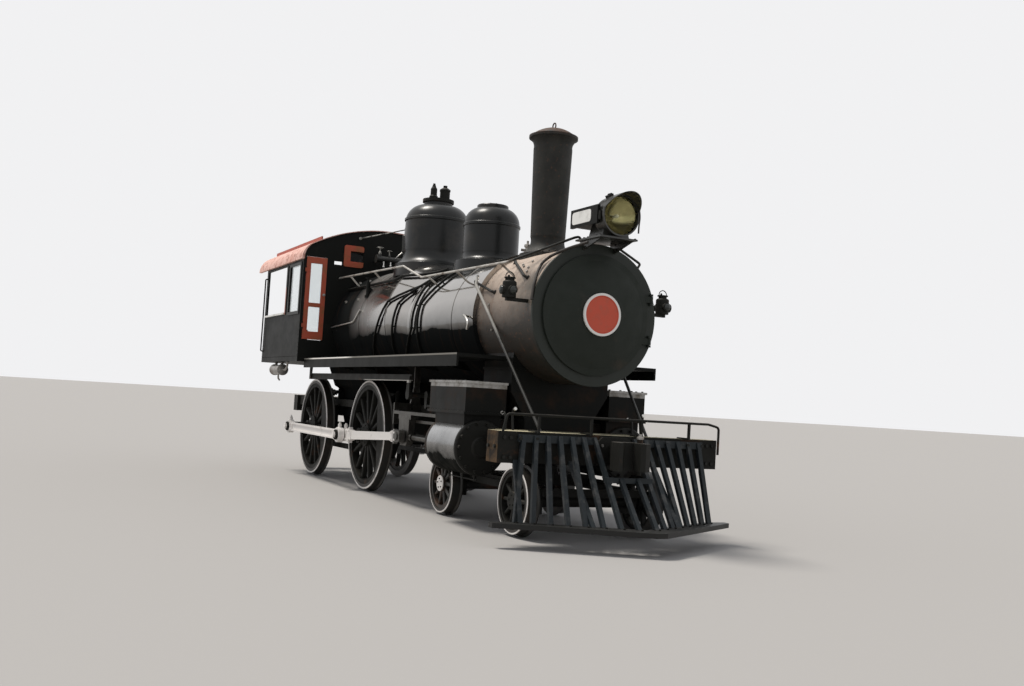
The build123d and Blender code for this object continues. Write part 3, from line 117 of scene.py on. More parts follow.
ROOF_R = 2.6  # radius of the roof's outer face
ROOF_RAIL_Y = 1.14
TURRET_X = CAB[1].x + 0.395
TURRET_Z = WAGON_Z + WAGON_R + 0.229

# Straps over the smokebox: place along and angle above level, at each end
STRAPS = (((2.375, 30), (2.955, 19)), ((2.865, 55), (3.635, 29)))
# The handrail's front end, bent down to a flange on the headlight's shelf
RAIL_END = ((3.8439, 0.262, 3.172), (3.8455, 0.228, 3.1875), (3.862, 0.185, 3.199), (3.885, 0.160, 3.154))
# The headlight's conduit on the right of the smokebox, by places along and angles above level
CONDUIT = ((4.24, 68), (4.06, 60), (3.93, 54), (3.84, 48), (3.81, 42), (3.86, 33), (3.93, 20), (3.975, 7))
CONDUIT_LIFT = 0.032

SIDES = (1, -1)
UP, FORE, OUT = (0, 0, 1), (1, 0, 0), (0, 1, 0)


# Settings that a user would change
class LocoFinishSettings(bpy.types.PropertyGroup):
    jacket_black: FloatVectorProperty(
        name="Jacket black", description="Gloss black of the boiler jacket",
        subtype="COLOR", size=3, min=0, max=1, default=(0.012, 0.013, 0.013))
    cab_black: FloatVectorProperty(
        name="Cab black", description="Satin black of the cab and running boards",
        subtype="COLOR", size=3, min=0, max=1, default=(0.009, 0.0095, 0.0085))
    iron_black: FloatVectorProperty(
        name="Iron black", description="Dull black of frames, springs and castings",
        subtype="COLOR", size=3, min=0, max=1, default=(0.014, 0.014, 0.012))
    front_black: FloatVectorProperty(
        name="Smokebox front", description="Matte green-black of the smokebox front and door",
        subtype="COLOR", size=3, min=0, max=1, default=(0.011, 0.015, 0.011))
    barrel_grey: FloatVectorProperty(
        name="Smokebox barrel", description="Faded graphite of the smokebox barrel",
        subtype="COLOR", size=3, min=0, max=1, default=(0.49, 0.395, 0.32))
    stack_grey: FloatVectorProperty(
        name="Stack", description="Dull brown-grey of the stack",
        subtype="COLOR", size=3, min=0, max=1, default=(0.009, 0.0095, 0.008))
    faded_red: FloatVectorProperty(
        name="Roof red", description="Chalky red of the cab roof",
        subtype="COLOR", size=3, min=0, max=1, default=(0.78, 0.49, 0.42))
    frame_red: FloatVectorProperty(
        name="Frame red", description="Orange red of doors and window frames",
        subtype="COLOR", size=3, min=0, max=1, default=(0.43, 0.075, 0.035))
    plate_red: FloatVectorProperty(
        name="Plate red", description="Red field of the round plate",
        subtype="COLOR", size=3, min=0, max=1, default=(0.54, 0.070, 0.030))
    rod_white: FloatVectorProperty(
        name="Rod white", description="Off-white paint of rods, rims and rings",
        subtype="COLOR", size=3, min=0, max=1, default=(0.80, 0.77, 0.74))
    pilot_blue: FloatVectorProperty(
        name="Pilot paint", description="Blue-black paint of the pilot",
        subtype="COLOR", size=3, min=0, max=1, default=(0.015, 0.020, 0.023))
    rust: FloatVectorProperty(
        name="Rust", description="Rust and brown dirt",
        subtype="COLOR", size=3, min=0, max=1, default=(0.12, 0.055, 0.028))
    dust: FloatVectorProperty(
        name="Dust", description="Pale dust in corners and on tops",
        subtype="COLOR", size=3, min=0, max=1, default=(0.20, 0.18, 0.155))


class LocoStudSettings(bpy.types.PropertyGroup):
    rivet_radius: FloatProperty(
        name="Rivet radius", description="Radius of a rivet's head", unit="LENGTH", default=0.011)
    rivet_height: FloatProperty(
        name="Rivet height", description="Height of a rivet's head", unit="LENGTH", default=0.007)
    bolt_radius: FloatProperty(
        name="Bolt radius", description="Radius of a hexagon bolt's head", unit="LENGTH", default=0.019)
    bolt_height: FloatProperty(
        name="Bolt height", description="Height of a hexagon bolt's head", unit="LENGTH", default=0.02)
    head_bolts: IntProperty(
        name="Head bolts", description="Bolts round each cylinder head", default=14, min=6)


class LocoStageSettings(bpy.types.PropertyGroup):
    lens: FloatProperty(
        name="Lens", description="Focal length of the camera in millimetres", default=36.763)
    camera_place: FloatVectorProperty(
        name="Camera place", description="Where the camera stands", unit="LENGTH", size=3,
        default=(13.5356, -5.7954, 1.3731))
    camera_turn: FloatVectorProperty(
        name="Camera turn", description="Yaw, pitch and roll of the camera's view", unit="ROTATION",
        size=3, default=(math.radians(153.228), math.radians(3.280), math.radians(3.447)))
    sun_strength: FloatProperty(
        name="Sun strength", description="Strength of the soft sun", default=3.1)
    sky_strength: FloatProperty(
        name="Sky strength", description="Strength of the even sky light", default=0.55)


# Nodes and finishes
class Wiring:
    """Adds nodes to a tree and feeds them with plain values or with other nodes' sockets."""

    def __init__(self, tree):
        self.tree = tree

    def feed(self, socket, value):
        if isinstance(value, bpy.types.NodeSocket):
            self.tree.links.new(value, socket)
        else:
            socket.default_value = value

    def node(self, kind, inputs, **settings):
        made = self.tree.nodes.new(kind)
        for key, value in settings.items():
            setattr(made, key, value)
        for key, value in inputs.items():
            self.feed(made.inputs[key], value)
        return made

    def maths(self, operation, *values):
        return self.node("ShaderNodeMath", dict(enumerate(values)), operation=operation).outputs[0]


FINISHES = {}


class Finish(Wiring):
    """One procedural material on Object coordinates, kept under a key."""

    def __init__(self, name, key=None, fixed=None):
        self.material = bpy.data.materials.new(name)
        self.material.use_nodes = True
        super().__init__(self.material.node_tree)
        self.shader = self.tree.nodes["Principled BSDF"]
        self.place = self.node("ShaderNodeTexCoord", {}).outputs["Object"]
        for socket, value in (fixed or {}).items():
            self.give(socket, value)
        FINISHES[key or name] = self.material

    def give(self, socket, value):
        self.feed(self.shader.inputs[socket], value)

    def noise(self, scale, detail=4.0, stretch=(1, 1, 1)):
        """Soft noise, stretched along the object's axes."""
        at = self.node("ShaderNodeMapping", {"Vector": self.place, "Scale": stretch}).outputs["Vector"]
        inputs = {"Vector": at, "Scale": scale, "Detail": detail, "Roughness": 0.6}
        return self.node("ShaderNodeTexNoise", inputs).outputs["Fac"]

    def ramp(self, value, low, high):
        """A 0 to 1 mask that rises from low to high."""
        inputs = {"Value": value, "From Min": low, "From Max": high}
        return self.node("ShaderNodeMapRange", inputs).outputs["Result"]

    def spread(self, mask, low, high):
        """A value that goes from low to high with a mask."""
        inputs = {"Value": mask, "To Min": low, "To Max": high}
        return self.node("ShaderNodeMapRange", inputs).outputs["Result"]

    def patches(self, scale, low, high, detail=4.0, stretch=(1, 1, 1)):
        """A mask of blotches, where noise rises from low to high."""
        return self.ramp(self.noise(scale, detail, stretch), low, high)

    def times(self, a, b):
        return self.maths("MULTIPLY", a, b)

    def plus(self, value, extra, factor):
        """The value plus a share of another."""
        return self.maths("MULTIPLY_ADD", extra, factor, value)

    def sized(self, value):
        """The value without its sign."""
        return self.maths("ABSOLUTE", value)

    def between(self, a, b, mask):
        """Colour a or b by a mask; either may be a plain colour or a socket."""
        a, b = (c if isinstance(c, bpy.types.NodeSocket) else (*c, 1) for c in (a, b))
        mix = self.node("ShaderNodeMix", {"A": a, "B": b, "Factor": mask}, data_type="RGBA")
        return mix.outputs["Result"]

    def axis(self, name):
        """The object's own x, y or z."""
        return self.node("ShaderNodeSeparateXYZ", {0: self.place}).outputs[name]

    def from_axis(self, centre, turn_axis):
        """Distance from a line through centre along turn_axis."""
        off = self.node("ShaderNodeVectorMath", {0: self.place, 1: centre}, operation="SUBTRACT").outputs[0]
        keep_across = [0 if a == turn_axis else 1 for a in "XYZ"]
        flat = self.node("ShaderNodeVectorMath", {0: off, 1: keep_across}, operation="MULTIPLY").outputs[0]
        return self.node("ShaderNodeVectorMath", {0: flat}, operation="LENGTH").outputs["Value"]

    def band(self, value, low, high, soft=0.003):
        """A mask that is 1 from low to high."""
        return self.times(self.ramp(value, low - soft, low), self.ramp(value, high + soft, high))

    def normal(self, name):
        """How far a face looks along x, y or z."""
        normal = self.node("ShaderNodeNewGeometry", {}).outputs["Normal"]
        return self.node("ShaderNodeSeparateXYZ", {0: normal}).outputs[name]

    def facing(self, name):
        """How far a face looks along x, y or z, either way."""
        return self.sized(self.normal(name))

    def upward(self):
        """A mask for faces that look up."""
        return self.ramp(self.normal("Z"), 0.55, 0.95)

    def colour(self, socket):
        self.give("Base Color", socket)

    def rough(self, low, high, scale=6.0, detail=4.0):
        """Roughness that wanders between two values."""
        self.give("Roughness", self.spread(self.noise(scale, detail), low, high))

    def bump(self, scale, strength, distance, detail=3.0):
        inputs = {"Height": self.noise(scale, detail), "Strength": strength, "Distance": distance}
        self.give("Normal", self.node("ShaderNodeBump", inputs).outputs["Normal"])


# Colours of wear, dirt and glass that more than one finish has; the pale grit is also a painted highlight on the
# beam's and deck's tops
GRIMY_WHITE = (0.33, 0.29, 0.25)
SCORCHED_RED = (0.24, 0.09, 0.03)
# Pale grit, also a painted highlight on lit tops.
PALE_GRIT_AND_TOP_HIGHLIGHT = (0.62, 0.56, 0.38)
CLEAR = (0.82, 0.86, 0.86)


def jacket_finish(s):
    """Boiler jacket: high gloss on its upper side, with pale patches there that are partly dust and partly a
    painted sheen; dull and dirty below and by the cab.
    """
    f = Finish("gloss_black_jacket", "jacket",
               {"Coat IOR": 2.4, "IOR": 2.3, "Specular Tint": (1.0, 0.93, 0.84, 1)})
    wavy = f.plus(f.axis("Z"), f.noise(1.3, 4.0, (0.7, 1, 1)), 0.34)
    high = f.times(f.ramp(wavy, AXIS_Z + 0.02, AXIS_Z + 0.38),
                   f.ramp(f.axis("X"), CAB[1].x + 0.8, CAB[1].x + 1.8))
    # Pale grey patches on the upper side: partly dust, partly a painted sheen that lightens the top.
    dirt = f.times(high, f.patches(2.0, 0.50, 0.78, 7.0, (0.6, 1, 1)))
    streaks = f.patches(7.0, 0.55, 0.75, 4.0, (1.6, 0.5, 0.14))
    body = f.between(s.jacket_black, (0.060, 0.056, 0.050), dirt)
    f.colour(f.between(body, s.rust, f.times(streaks, 0.16)))
    haze = f.ramp(f.axis("X"), CAB[1].x + 2.1, CAB[1].x + 1.0)
    blur = f.plus(f.times(f.noise(5.0, 5.0), 0.2), haze, 0.6)
    f.give("Roughness", f.spread(blur, 0.07, 0.72))
    f.give("Specular IOR Level", high)
    f.give("Coat Weight", f.times(high, 0.9))
    f.give("Coat Roughness", f.times(blur, 0.6))
    f.bump(1.6, 0.10, 0.03, 2.0)


def dome_finish(s):
    """Domes: black with a soft sheen and some soot."""
    f = Finish("gloss_black_dome", "dome", {"Specular IOR Level": 0.3})
    f.colour(f.between((0.009, 0.010, 0.010), (0.035, 0.031, 0.026), f.patches(3.0, 0.50, 0.75, 6.0)))
    f.rough(0.24, 0.40, 5.0, 5.0)
    f.bump(2.5, 0.08, 0.02, 2.0)


def cylinder_finish(s):
    """Cylinder jackets: glossy above, streaked and dull below."""
    f = Finish("cylinder_jacket", "cylinder", {"Coat Roughness": 0.16, "Coat IOR": 2.6, "IOR": 2.2})
    high = f.ramp(f.plus(f.axis("Z"), f.noise(3.0, 5.0), 0.30), 0.90, 1.20)
    streaks = f.patches(11.0, 0.40, 0.85, 5.0, (1.2, 1, 0.3))
    f.colour(f.between((0.014, 0.015, 0.014), (0.050, 0.048, 0.044), streaks))
    f.rough(0.20, 0.36, 8.0)
    f.give("Specular IOR Level", high)
    f.give("Coat Weight", f.times(high, 0.9))


def barrel_finish(s):
    """Smokebox: pale and baked on top, darkened towards the bottom by painted shade, darker in patches towards
    the front, with a matte front ring.
    """
    f = Finish("faded_graphite_barrel", "barrel", {"Specular IOR Level": 0.35})
    wander = f.plus(f.axis("Z"), f.noise(2.4, 6.0, (0.7, 1, 1)), 0.55)
    # Painted shade: the barrel darkens from its pale top towards the bottom.
    pale = f.ramp(wander, AXIS_Z + 0.12, AXIS_Z + 0.82)
    tone = f.between([c * 0.06 for c in s.barrel_grey], s.barrel_grey, pale)
    tone = f.between(tone, [c * 0.5 for c in s.barrel_grey], f.times(f.patches(7.0, 0.50, 0.66, 6.0), pale))
    # Darker patches towards the front ring.
    darker_to_front = f.times(f.ramp(f.axis("X"), RING_X - 0.75, RING_X - 0.05), f.patches(3.2, 0.36, 0.62, 6.0))
    tone = f.between(tone, s.front_black, darker_to_front)
    specks = f.patches(30.0, 0.62, 0.68, 3.0)
    tone = f.between(tone, s.rust, f.times(specks, 0.75))
    drips = f.patches(9.0, 0.58, 0.72, 3.0, (1, 0.6, 0.12))
    tone = f.between(tone, s.rust, f.times(drips, 0.35))
    f.colour(f.between(tone, s.front_black, f.ramp(f.axis("X"), RING_X - 0.073, RING_X - 0.070)))
    f.rough(0.40, 0.62)
    f.bump(40.0, 0.12, 0.003)


def weathered(name, paint, dirt, share, scale, gloss, grain, top_dust_and_sheen=None, shine=0.5, cover=0.45, metal=0.0):
    """Painted metal with blotches of dirt, a pale layer on its tops and a little orange peel; the layer is dust,
    and on the deck partly a painted highlight.
    """
    f = Finish(name, name, {"Specular IOR Level": shine, "Metallic": metal})
    body = f.between(paint, dirt, f.patches(scale, 0.72 - share * 0.5, 0.80, 6.0))
    if top_dust_and_sheen is not None:
        top = f.times(f.upward(), f.patches(7.0, 0.30, 0.75, 5.0))
        body = f.between(body, top_dust_and_sheen, f.times(top, cover))
    f.colour(body)
    f.rough(*gloss, scale * 3, 3.0)
    f.bump(60.0, grain, 0.002)


def plain_finishes(s):
    """Paints and metals that differ only in colour, dirt and gloss."""
    weathered("satin_black_cab", s.cab_black, (0.026, 0.024, 0.020), 0.25, 1.8, (0.38, 0.58), 0.06,
              s.dust, 0.09)
    weathered("dull_black_iron", s.iron_black, s.rust, 0.22, 3.5, (0.45, 0.75), 0.3, s.dust, 0.15)
    weathered("black_iron", s.iron_black, s.rust, 0.12, 3.5, (0.40, 0.65), 0.2, None, 0.18)
    weathered("matte_front_black", s.front_black, (0.034, 0.028, 0.020), 0.20, 2.4, (0.55, 0.8), 0.3,
              None, 0.3)
    weathered("window_frame_red", s.frame_red, (0.22, 0.06, 0.04), 0.25, 5.0, (0.4, 0.65), 0.12)
    weathered("off_white_rods", s.rod_white, GRIMY_WHITE, 0.16, 5.0, (0.35, 0.6), 0.10)
    weathered("lamp_black", (0.020, 0.020, 0.017), s.dust, 0.12, 6.0, (0.20, 0.38), 0.05, None, 0.6)
    weathered("worn_steel", (0.34, 0.33, 0.31), s.rust, 0.40, 7.0, (0.3, 0.55), 0.1, metal=0.8)
    weathered("oily_steel", (0.10, 0.096, 0.086), (0.022, 0.017, 0.013), 0.7, 9.0, (0.25, 0.5), 0.1,
              metal=0.8)
    weathered("bright_steel", (0.62, 0.61, 0.58), (0.25, 0.2, 0.16), 0.25, 12.0, (0.25, 0.45), 0.05,
              metal=0.9)
    weathered("dark_leather", (0.018, 0.014, 0.011), (0.05, 0.035, 0.025), 0.3, 20.0, (0.5, 0.8), 0.2)
    # The deck's pale tops are grit and a painted highlight.
    weathered("deck", s.cab_black, s.iron_black, 0.3, 4.0, (0.5, 0.75), 0.2, PALE_GRIT_AND_TOP_HIGHLIGHT, 0.1, 0.85)


def roof_finish(s):
    """Roof: chalky paint in patches, with rust coming through in spots."""
    f = Finish("chalky_roof_red")
    tone = f.between(s.faded_red, (0.58, 0.25, 0.18), f.patches(2.2, 0.50, 0.72, 6.0))
    spots = f.patches(13.0, 0.52, 0.62, 8.0)
    f.colour(f.between(tone, (0.30, 0.10, 0.06), f.times(spots, 0.7)))
    f.rough(0.55, 0.8, 7.8, 3.0)
    f.bump(60.0, 0.2, 0.002)


def rod_finish(s):
    """Rods: off-white paint, oily at the crosshead end."""
    f = Finish("painted_rods", "rods")
    tone = f.between(s.rod_white, GRIMY_WHITE, f.patches(5.0, 0.60, 0.78, 6.0))
    f.colour(f.between(tone, (0.045, 0.042, 0.036), f.ramp(f.axis("X"), 0.90, 0.97)))
    f.rough(0.35, 0.55)


def valve_gear_finish(s):
    """Valve gear: black, with a painted highlight as a bright line along the edge under the reach rod."""
    f = Finish("valve_gear", fixed={"Specular IOR Level": 0.15})
    # Painted highlight: a bright band along the edge under the reach rod.
    edge = f.times(f.band(f.axis("Z"), 1.55, 1.580), f.band(f.axis("X"), -0.3, 1.38, 0.1))
    grimy = f.between(s.iron_black, s.rust, f.patches(3.5, 0.6, 0.8, 6.0))
    f.colour(f.between(grimy, (0.62, 0.60, 0.56), edge))
    f.rough(0.4, 0.7)


def stack_finish(s):
    """Stack: mottled brown grey, rusty on the lip."""
    f = Finish("stack_brown_grey", "stack", {"Specular IOR Level": 0.3})
    tone = f.between(s.stack_grey, (0.024, 0.023, 0.019), f.patches(6.0, 0.36, 0.68, 7.0, (1, 1, 0.6)))
    tone = f.between(tone, s.rust, f.times(f.patches(24.0, 0.60, 0.68), 0.3))
    lip = f.times(f.ramp(f.axis("Z"), STACK[1].z - 0.20, STACK[1].z - 0.15), f.patches(8.0, 0.32, 0.55, 5.0))
    f.colour(f.between(tone, s.rust, f.times(lip, 0.5)))
    f.rough(0.5, 0.75, 8.0)
    f.bump(30.0, 0.3, 0.004, 4.0)


def chest_finish(s):
    """Steam chests and cylinders: satin black, with a painted pale highlight along the lids' edges."""
    f = Finish("steam_chest", "chest", {"Specular IOR Level": 0.09})
    tone = f.between(s.cab_black, s.rust, f.times(f.patches(3.0, 0.50, 0.75, 6.0), 0.22))
    top = f.times(f.upward(), f.patches(7.0, 0.30, 0.7, 5.0))
    tone = f.between(tone, s.dust, f.times(top, 0.8))
    # Painted highlight: a pale band along the lids' upright edges.
    edge = f.times(f.band(f.axis("Z"), LID_Z - 0.068, LID_Z + 0.001), f.ramp(f.axis("X"), 2.30, 2.31))
    edge = f.times(edge, f.ramp(f.sized(f.axis("Y")), LID_IN_Y - 0.003, LID_IN_Y))
    edge = f.times(edge, f.ramp(f.facing("Z"), 0.6, 0.5))
    pale = f.between((0.50, 0.49, 0.47), (0.24, 0.22, 0.19), f.patches(9.0, 0.48, 0.68))
    f.colour(f.between(tone, pale, edge))
    f.rough(0.3, 0.6)


def running_board_finish(s):
    """Running boards: black, with dust on top and a painted highlight as a pale line along the outer top edge,
    brightest from x -2.1 to -0.5.
    """
    f = Finish("running_board", fixed={"Specular IOR Level": 0.08})
    edge = f.times(f.band(f.axis("Z"), RUN_BOARD[1].z - 0.017, RUN_BOARD[1].z + 0.01),
                   f.ramp(f.facing("Y"), 0.85, 0.95))
    # Painted highlight: the edge line, brightest from x -2.1 to -0.5.
    line = f.between((0.20, 0.19, 0.17), (0.88, 0.85, 0.80), f.band(f.axis("X"), -2.1, -0.5, 0.3))
    tone = f.between(s.cab_black, s.dust, f.times(f.upward(), 0.4))
    f.colour(f.between(tone, line, edge))
    f.rough(0.4, 0.6, 5.0)


def beam_finish(s):
    """Buffer beam: black face, brown worn ends, and pale tops that are grit and a painted highlight."""
    f = Finish("buffer_beam", "beam", {"Specular IOR Level": 0.12})
    brown = f.between((0.018, 0.014, 0.010), (0.10, 0.06, 0.03), f.patches(9.0, 0.42, 0.66, 6.0))
    black = f.between(s.iron_black, s.rust, f.patches(3.0, 0.60, 0.85, 6.0))
    tone = f.between(black, brown, f.ramp(f.facing("Y"), 0.8, 0.9))
    # Painted highlight and grit: the beam's top faces are pale.
    f.colour(f.between(tone, PALE_GRIT_AND_TOP_HIGHLIGHT, f.times(f.upward(), 0.8)))
    f.rough(0.5, 0.8, 5.0)


def pilot_finish(s):
    """Pilot: dark slate slats, with painted shade darkening the foot."""
    f = Finish("pilot_slate", "pilot", {"Specular IOR Level": 0.25})
    tone = f.between(s.pilot_blue, (0.075, 0.075, 0.073), f.times(f.patches(9.0, 0.52, 0.70, 6.0), 0.8))
    # Painted shade: the foot, the lowest few centimetres, is darker.
    foot = f.ramp(f.axis("Z"), PILOT[0].z + 0.056, PILOT[0].z + 0.050)
    f.colour(f.between(tone, (0.016, 0.016, 0.015), foot))
    f.rough(0.35, 0.6, 7.0)


def handrail_finish(s):
    """Handrails: bright bar, painted dark over the smokebox."""
    f = Finish("handrail", fixed={"Metallic": 0.5})
    bright = f.between((0.50, 0.48, 0.44), (0.16, 0.12, 0.09), f.patches(5.0, 0.50, 0.66, 6.0))
    f.colour(f.between(bright, s.iron_black, f.ramp(f.axis("X"), RING_X - 0.62, RING_X - 0.50)))
    f.rough(0.3, 0.5, 9.0)


def brace_finish(s):
    """Smokebox braces: black below, paler towards the top."""
    f = Finish("smokebox_brace", "brace")
    # Paler towards the top, over a wavy height from 2.30 to 2.60 m.
    worn = f.ramp(f.plus(f.axis("Z"), f.noise(6.0, 5.0), 0.5), 2.30, 2.60)
    f.colour(f.between(s.iron_black, (0.36, 0.35, 0.32), worn))
    f.rough(0.35, 0.55, 9.0)


def worn_red(f, s):
    return f.between(s.frame_red, SCORCHED_RED, f.patches(5.0, 0.45, 0.7, 5.0))


def sash_finish(s):
    """Side windows: black sashes with one red upright; red frames on the cab's front."""
    f = Finish("window_frames", "sash")
    side = f.ramp(f.sized(f.axis("Y")), CAB[1].y - 0.002, CAB[1].y)
    upright = f.times(f.ramp(f.axis("X"), SASH_X + 0.002, SASH_X), f.ramp(f.axis("Z"), 3.06, 3.04))
    f.colour(f.between(worn_red(f, s), s.cab_black, f.times(side, f.ramp(upright, 1, 0))))
    f.rough(0.4, 0.65)


def door_finish(s):
    """Cab doors: red frame, clear lights."""
    f = Finish("cab_door")
    pane = f.times(f.band(f.axis("X"), DOOR_PANE_X, DOOR_PANE_X + 0.006), f.ramp(f.facing("X"), 0.9, 0.95))
    f.colour(f.between(worn_red(f, s), CLEAR, pane))
    f.give("Roughness", f.spread(pane, 0.5, 0.04))
    f.give("Transmission Weight", f.times(pane, 0.95))


def turret_finish(s):
    """Turret: black body with worn valve stems and wheels."""
    f = Finish("steam_turret", "turret")
    stems = f.times(f.ramp(f.axis("Z"), 3.60, 3.62), f.ramp(f.axis("X"), -2.0, -2.05))
    f.colour(f.between(s.iron_black, (0.42, 0.41, 0.37), f.times(stems, f.patches(18.0, 0.40, 0.60))))
    f.rough(0.3, 0.5, 9.0)


def glass_finishes(s):
    """Window glass, dark in the cab's high front panes, and the lamps' lenses, reflector and panels."""
    f = Finish("window_glass", "glass", {"Roughness": 0.04, "Transmission Weight": 0.95, "IOR": 1.45})
    high = f.ramp(f.axis("Z"), HIGH_PANE_Z - 0.01, HIGH_PANE_Z)
    f.colour(f.between(CLEAR, (0.012, 0.012, 0.012), high))
    Finish("headlight_lens", "lens", {"Base Color": (0.86, 0.86, 0.72, 1), "Roughness": 0.02,
                                      "Transmission Weight": 1.0, "IOR": 1.08})
    Finish("dark_lens", fixed={"Base Color": (0.012, 0.016, 0.014, 1), "Roughness": 0.05})
    f = Finish("brass_reflector", "brass", {"Metallic": 0.9})
    f.colour(f.between((0.52, 0.48, 0.33), (0.26, 0.24, 0.14), f.patches(7.0, 0.3, 0.8)))
    f.rough(0.16, 0.28, 12.0, 3.0)
    f = Finish("pale_panel")
    f.colour(f.between((0.84, 0.84, 0.81), (0.52, 0.51, 0.48), f.patches(6.0, 0.45, 0.75)))
    f.rough(0.35, 0.6, 8.0)


def plate_finish(s):
    """The round plate: red field, white ring, nothing written on it."""
    f = Finish("blank_red_plate", "plate")
    rim = f.ramp(f.from_axis((0, 0, AXIS_Z), "X"), PLATE_R - 0.026, PLATE_R - 0.024)
    red = f.between(s.plate_red, (0.44, 0.08, 0.04), f.patches(14.0, 0.5, 0.75, 5.0))
    f.colour(f.between(red, (0.80, 0.78, 0.75), rim))
    f.rough(0.35, 0.55, 10.0)


def wheel_finishes(s):
    """Tyres with a white band on the outer face; rear truck wheels with a pale hub."""
    for name, corners, white_band in (("front_driver", FRONT_TYRE, 0.024), ("rear_driver", REAR_TYRE, 0.024),
                                      ("truck_front", TRUCK_TYRES["truck_front_axle"], 0.016),
                                      ("truck_rear", TRUCK_TYRES["truck_rear_axle"], 0.016)):
        f = Finish(f"tyre_{name}")
        inside = half_height(corners) - FLANGE - white_band
        ring = f.times(f.ramp(f.from_axis(middle(corners), "Y"), inside - 0.003, inside),
                       f.ramp(f.sized(f.axis("Y")), corners[1].y - 0.007, corners[1].y - 0.005))
        dark = f.between(s.iron_black, (0.034, 0.024, 0.017), f.patches(5.0, 0.4, 0.8, 5.0))
        white = f.between(s.rod_white, (0.36, 0.32, 0.28), f.patches(8.0, 0.52, 0.8, 5.0))
        f.colour(f.between(dark, white, ring))
        f.rough(0.35, 0.6)
    f = Finish("truck_wheel_centres", "truck_wheels")
    grimy = f.between(s.iron_black, s.rust, f.patches(4.0, 0.45, 0.8, 5.0))
    f.colour(f.between(grimy, s.rod_white, f.ramp(f.sized(f.axis("Y")), 0.825, 0.83)))
    f.rough(0.4, 0.65)


FINISH_MAKERS = (jacket_finish, dome_finish, cylinder_finish, barrel_finish, plain_finishes, roof_finish,
                 rod_finish, valve_gear_finish, stack_finish, chest_finish, running_board_finish, beam_finish,
                 pilot_finish, handrail_finish, brace_finish, sash_finish, door_finish, turret_finish,
                 glass_finishes, plate_finish, wheel_finishes)

# CAD node, finish
NODE_FINISHES = {
    "boiler": "jacket", "sand_dome": "dome", "steam_dome": "dome", "cylinder_jackets": "cylinder",
    "smokebox": "barrel", "smokebox_door": "matte_front_black", "stack": "stack",
    "number_plate": "plate", "number_boards": "satin_black_cab", "headlight_body": "lamp_black",
    "headlight_glass": "lens", "cab_glass": "glass", "cab_body": "satin_black_cab",
    "cab_roof": "chalky_roof_red", "cab_floor": "satin_black_cab", "cab_window_frames": "sash",
    "cab_door_left": "cab_door", "cab_door_right": "cab_door",
    "running_boards": "running_board", "cylinder_block": "chest",
    "cylinder_heads": "black_iron", "main_frame": "dull_black_iron", "valve_gear": "valve_gear",
    "driver_springs_and_boxes": "dull_black_iron", "guide_bars": "oily_steel", "crossheads": "oily_steel",
    "front_driver_wheels": "dull_black_iron", "rear_driver_wheels": "dull_black_iron",
    "front_driver_tyres": "tyre_front_driver", "rear_driver_tyres": "tyre_rear_driver",
    "truck_front_tyres": "tyre_truck_front", "truck_rear_tyres": "tyre_truck_rear",
    # The front truck wheels' centres stay all dark, with no pale hub like the rear's: painted shade under the
    # pilot.
    "truck_front_wheels": "dull_black_iron", "truck_rear_wheels": "truck_wheels",
    "truck_frame": "dull_black_iron", "rods_left": "rods", "rods_right": "rods",
    "pilot": "pilot", "coupler": "dull_black_iron", "buffer_beam": "beam",
    "front_deck": "deck", "smokebox_braces": "brace", "handrails": "handrail",
    "uncoupling_rod": "dull_black_iron", "marker_lamps": "dull_black_iron",
    "safety_valves": "dull_black_iron", "backhead_fittings": "dull_black_iron",
    "boiler_pipes": "satin_black_cab", "turret": "turret",
}


# Mesh helpers
def keep(name, mesh, finish, body):
    """Puts a finished mesh in the scene on its body."""
    made = bpy.data.objects.new(name, mesh)
    bpy.context.scene.collection.objects.link(made)
    mesh.materials.clear()
    mesh.materials.append(FINISHES[finish])
    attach(made, body)
    return made


def from_bmesh(name, bm, finish, smooth=35.0, body="engine"):
    """A bmesh as a piece, merged, outward and shaded by angle."""
    bmesh.ops.remove_doubles(bm, verts=bm.verts, dist=1e-5)
    bmesh.ops.recalc_face_normals(bm, faces=bm.faces)
    limit = math.radians(smooth)
    for face in bm.faces:
        face.smooth = True
    for edge in bm.edges:
        edge.smooth = len(edge.link_faces) == 2 and edge.calc_face_angle(0.0) < limit
    mesh = bpy.data.meshes.new(name)
    bm.to_mesh(mesh)
    bm.free()
    return keep(name, mesh, finish, body)


def circle(radius, sides):
    """The (across, up) corners of a regular polygon."""
    return [(radius * math.cos(2 * math.pi * i / sides), radius * math.sin(2 * math.pi * i / sides))
            for i in range(sides)]


def add_turned(bm, profile, origin, axis=UP, sides=32):
    """Adds a lathe shape of (radius, height) steps about an axis through origin."""
    turn = Vector(UP).rotation_difference(Vector(axis)).to_matrix().to_4x4()
    place = Matrix.Translation(origin) @ turn
    rings = []
    for radius, height in profile:
        corners = circle(radius, sides) if radius else [(0, 0)]
        rings.append([bm.verts.new(place @ Vector((u, v, height))) for u, v in corners])
    for a, b in zip(rings, rings[1:]):
        for i in range(sides):
            j = (i + 1) % sides
            corners = dict.fromkeys((a[i % len(a)], a[j % len(a)], b[j % len(b)], b[i % len(b)]))
            if len(corners) > 2:
                bm.faces.new(list(corners))


def add_box(bm, low, high, turn=None):
    """Adds a box between two corners, turned about its middle if a matrix is given."""
    low, high = Vector(low), Vector(high)
    turned = Matrix.Translation((low + high) / 2) @ (turn or Matrix.Identity(4))
    place = turned @ Matrix.Diagonal((*(high - low), 1))
    bmesh.ops.create_cube(bm, size=1.0, matrix=place)


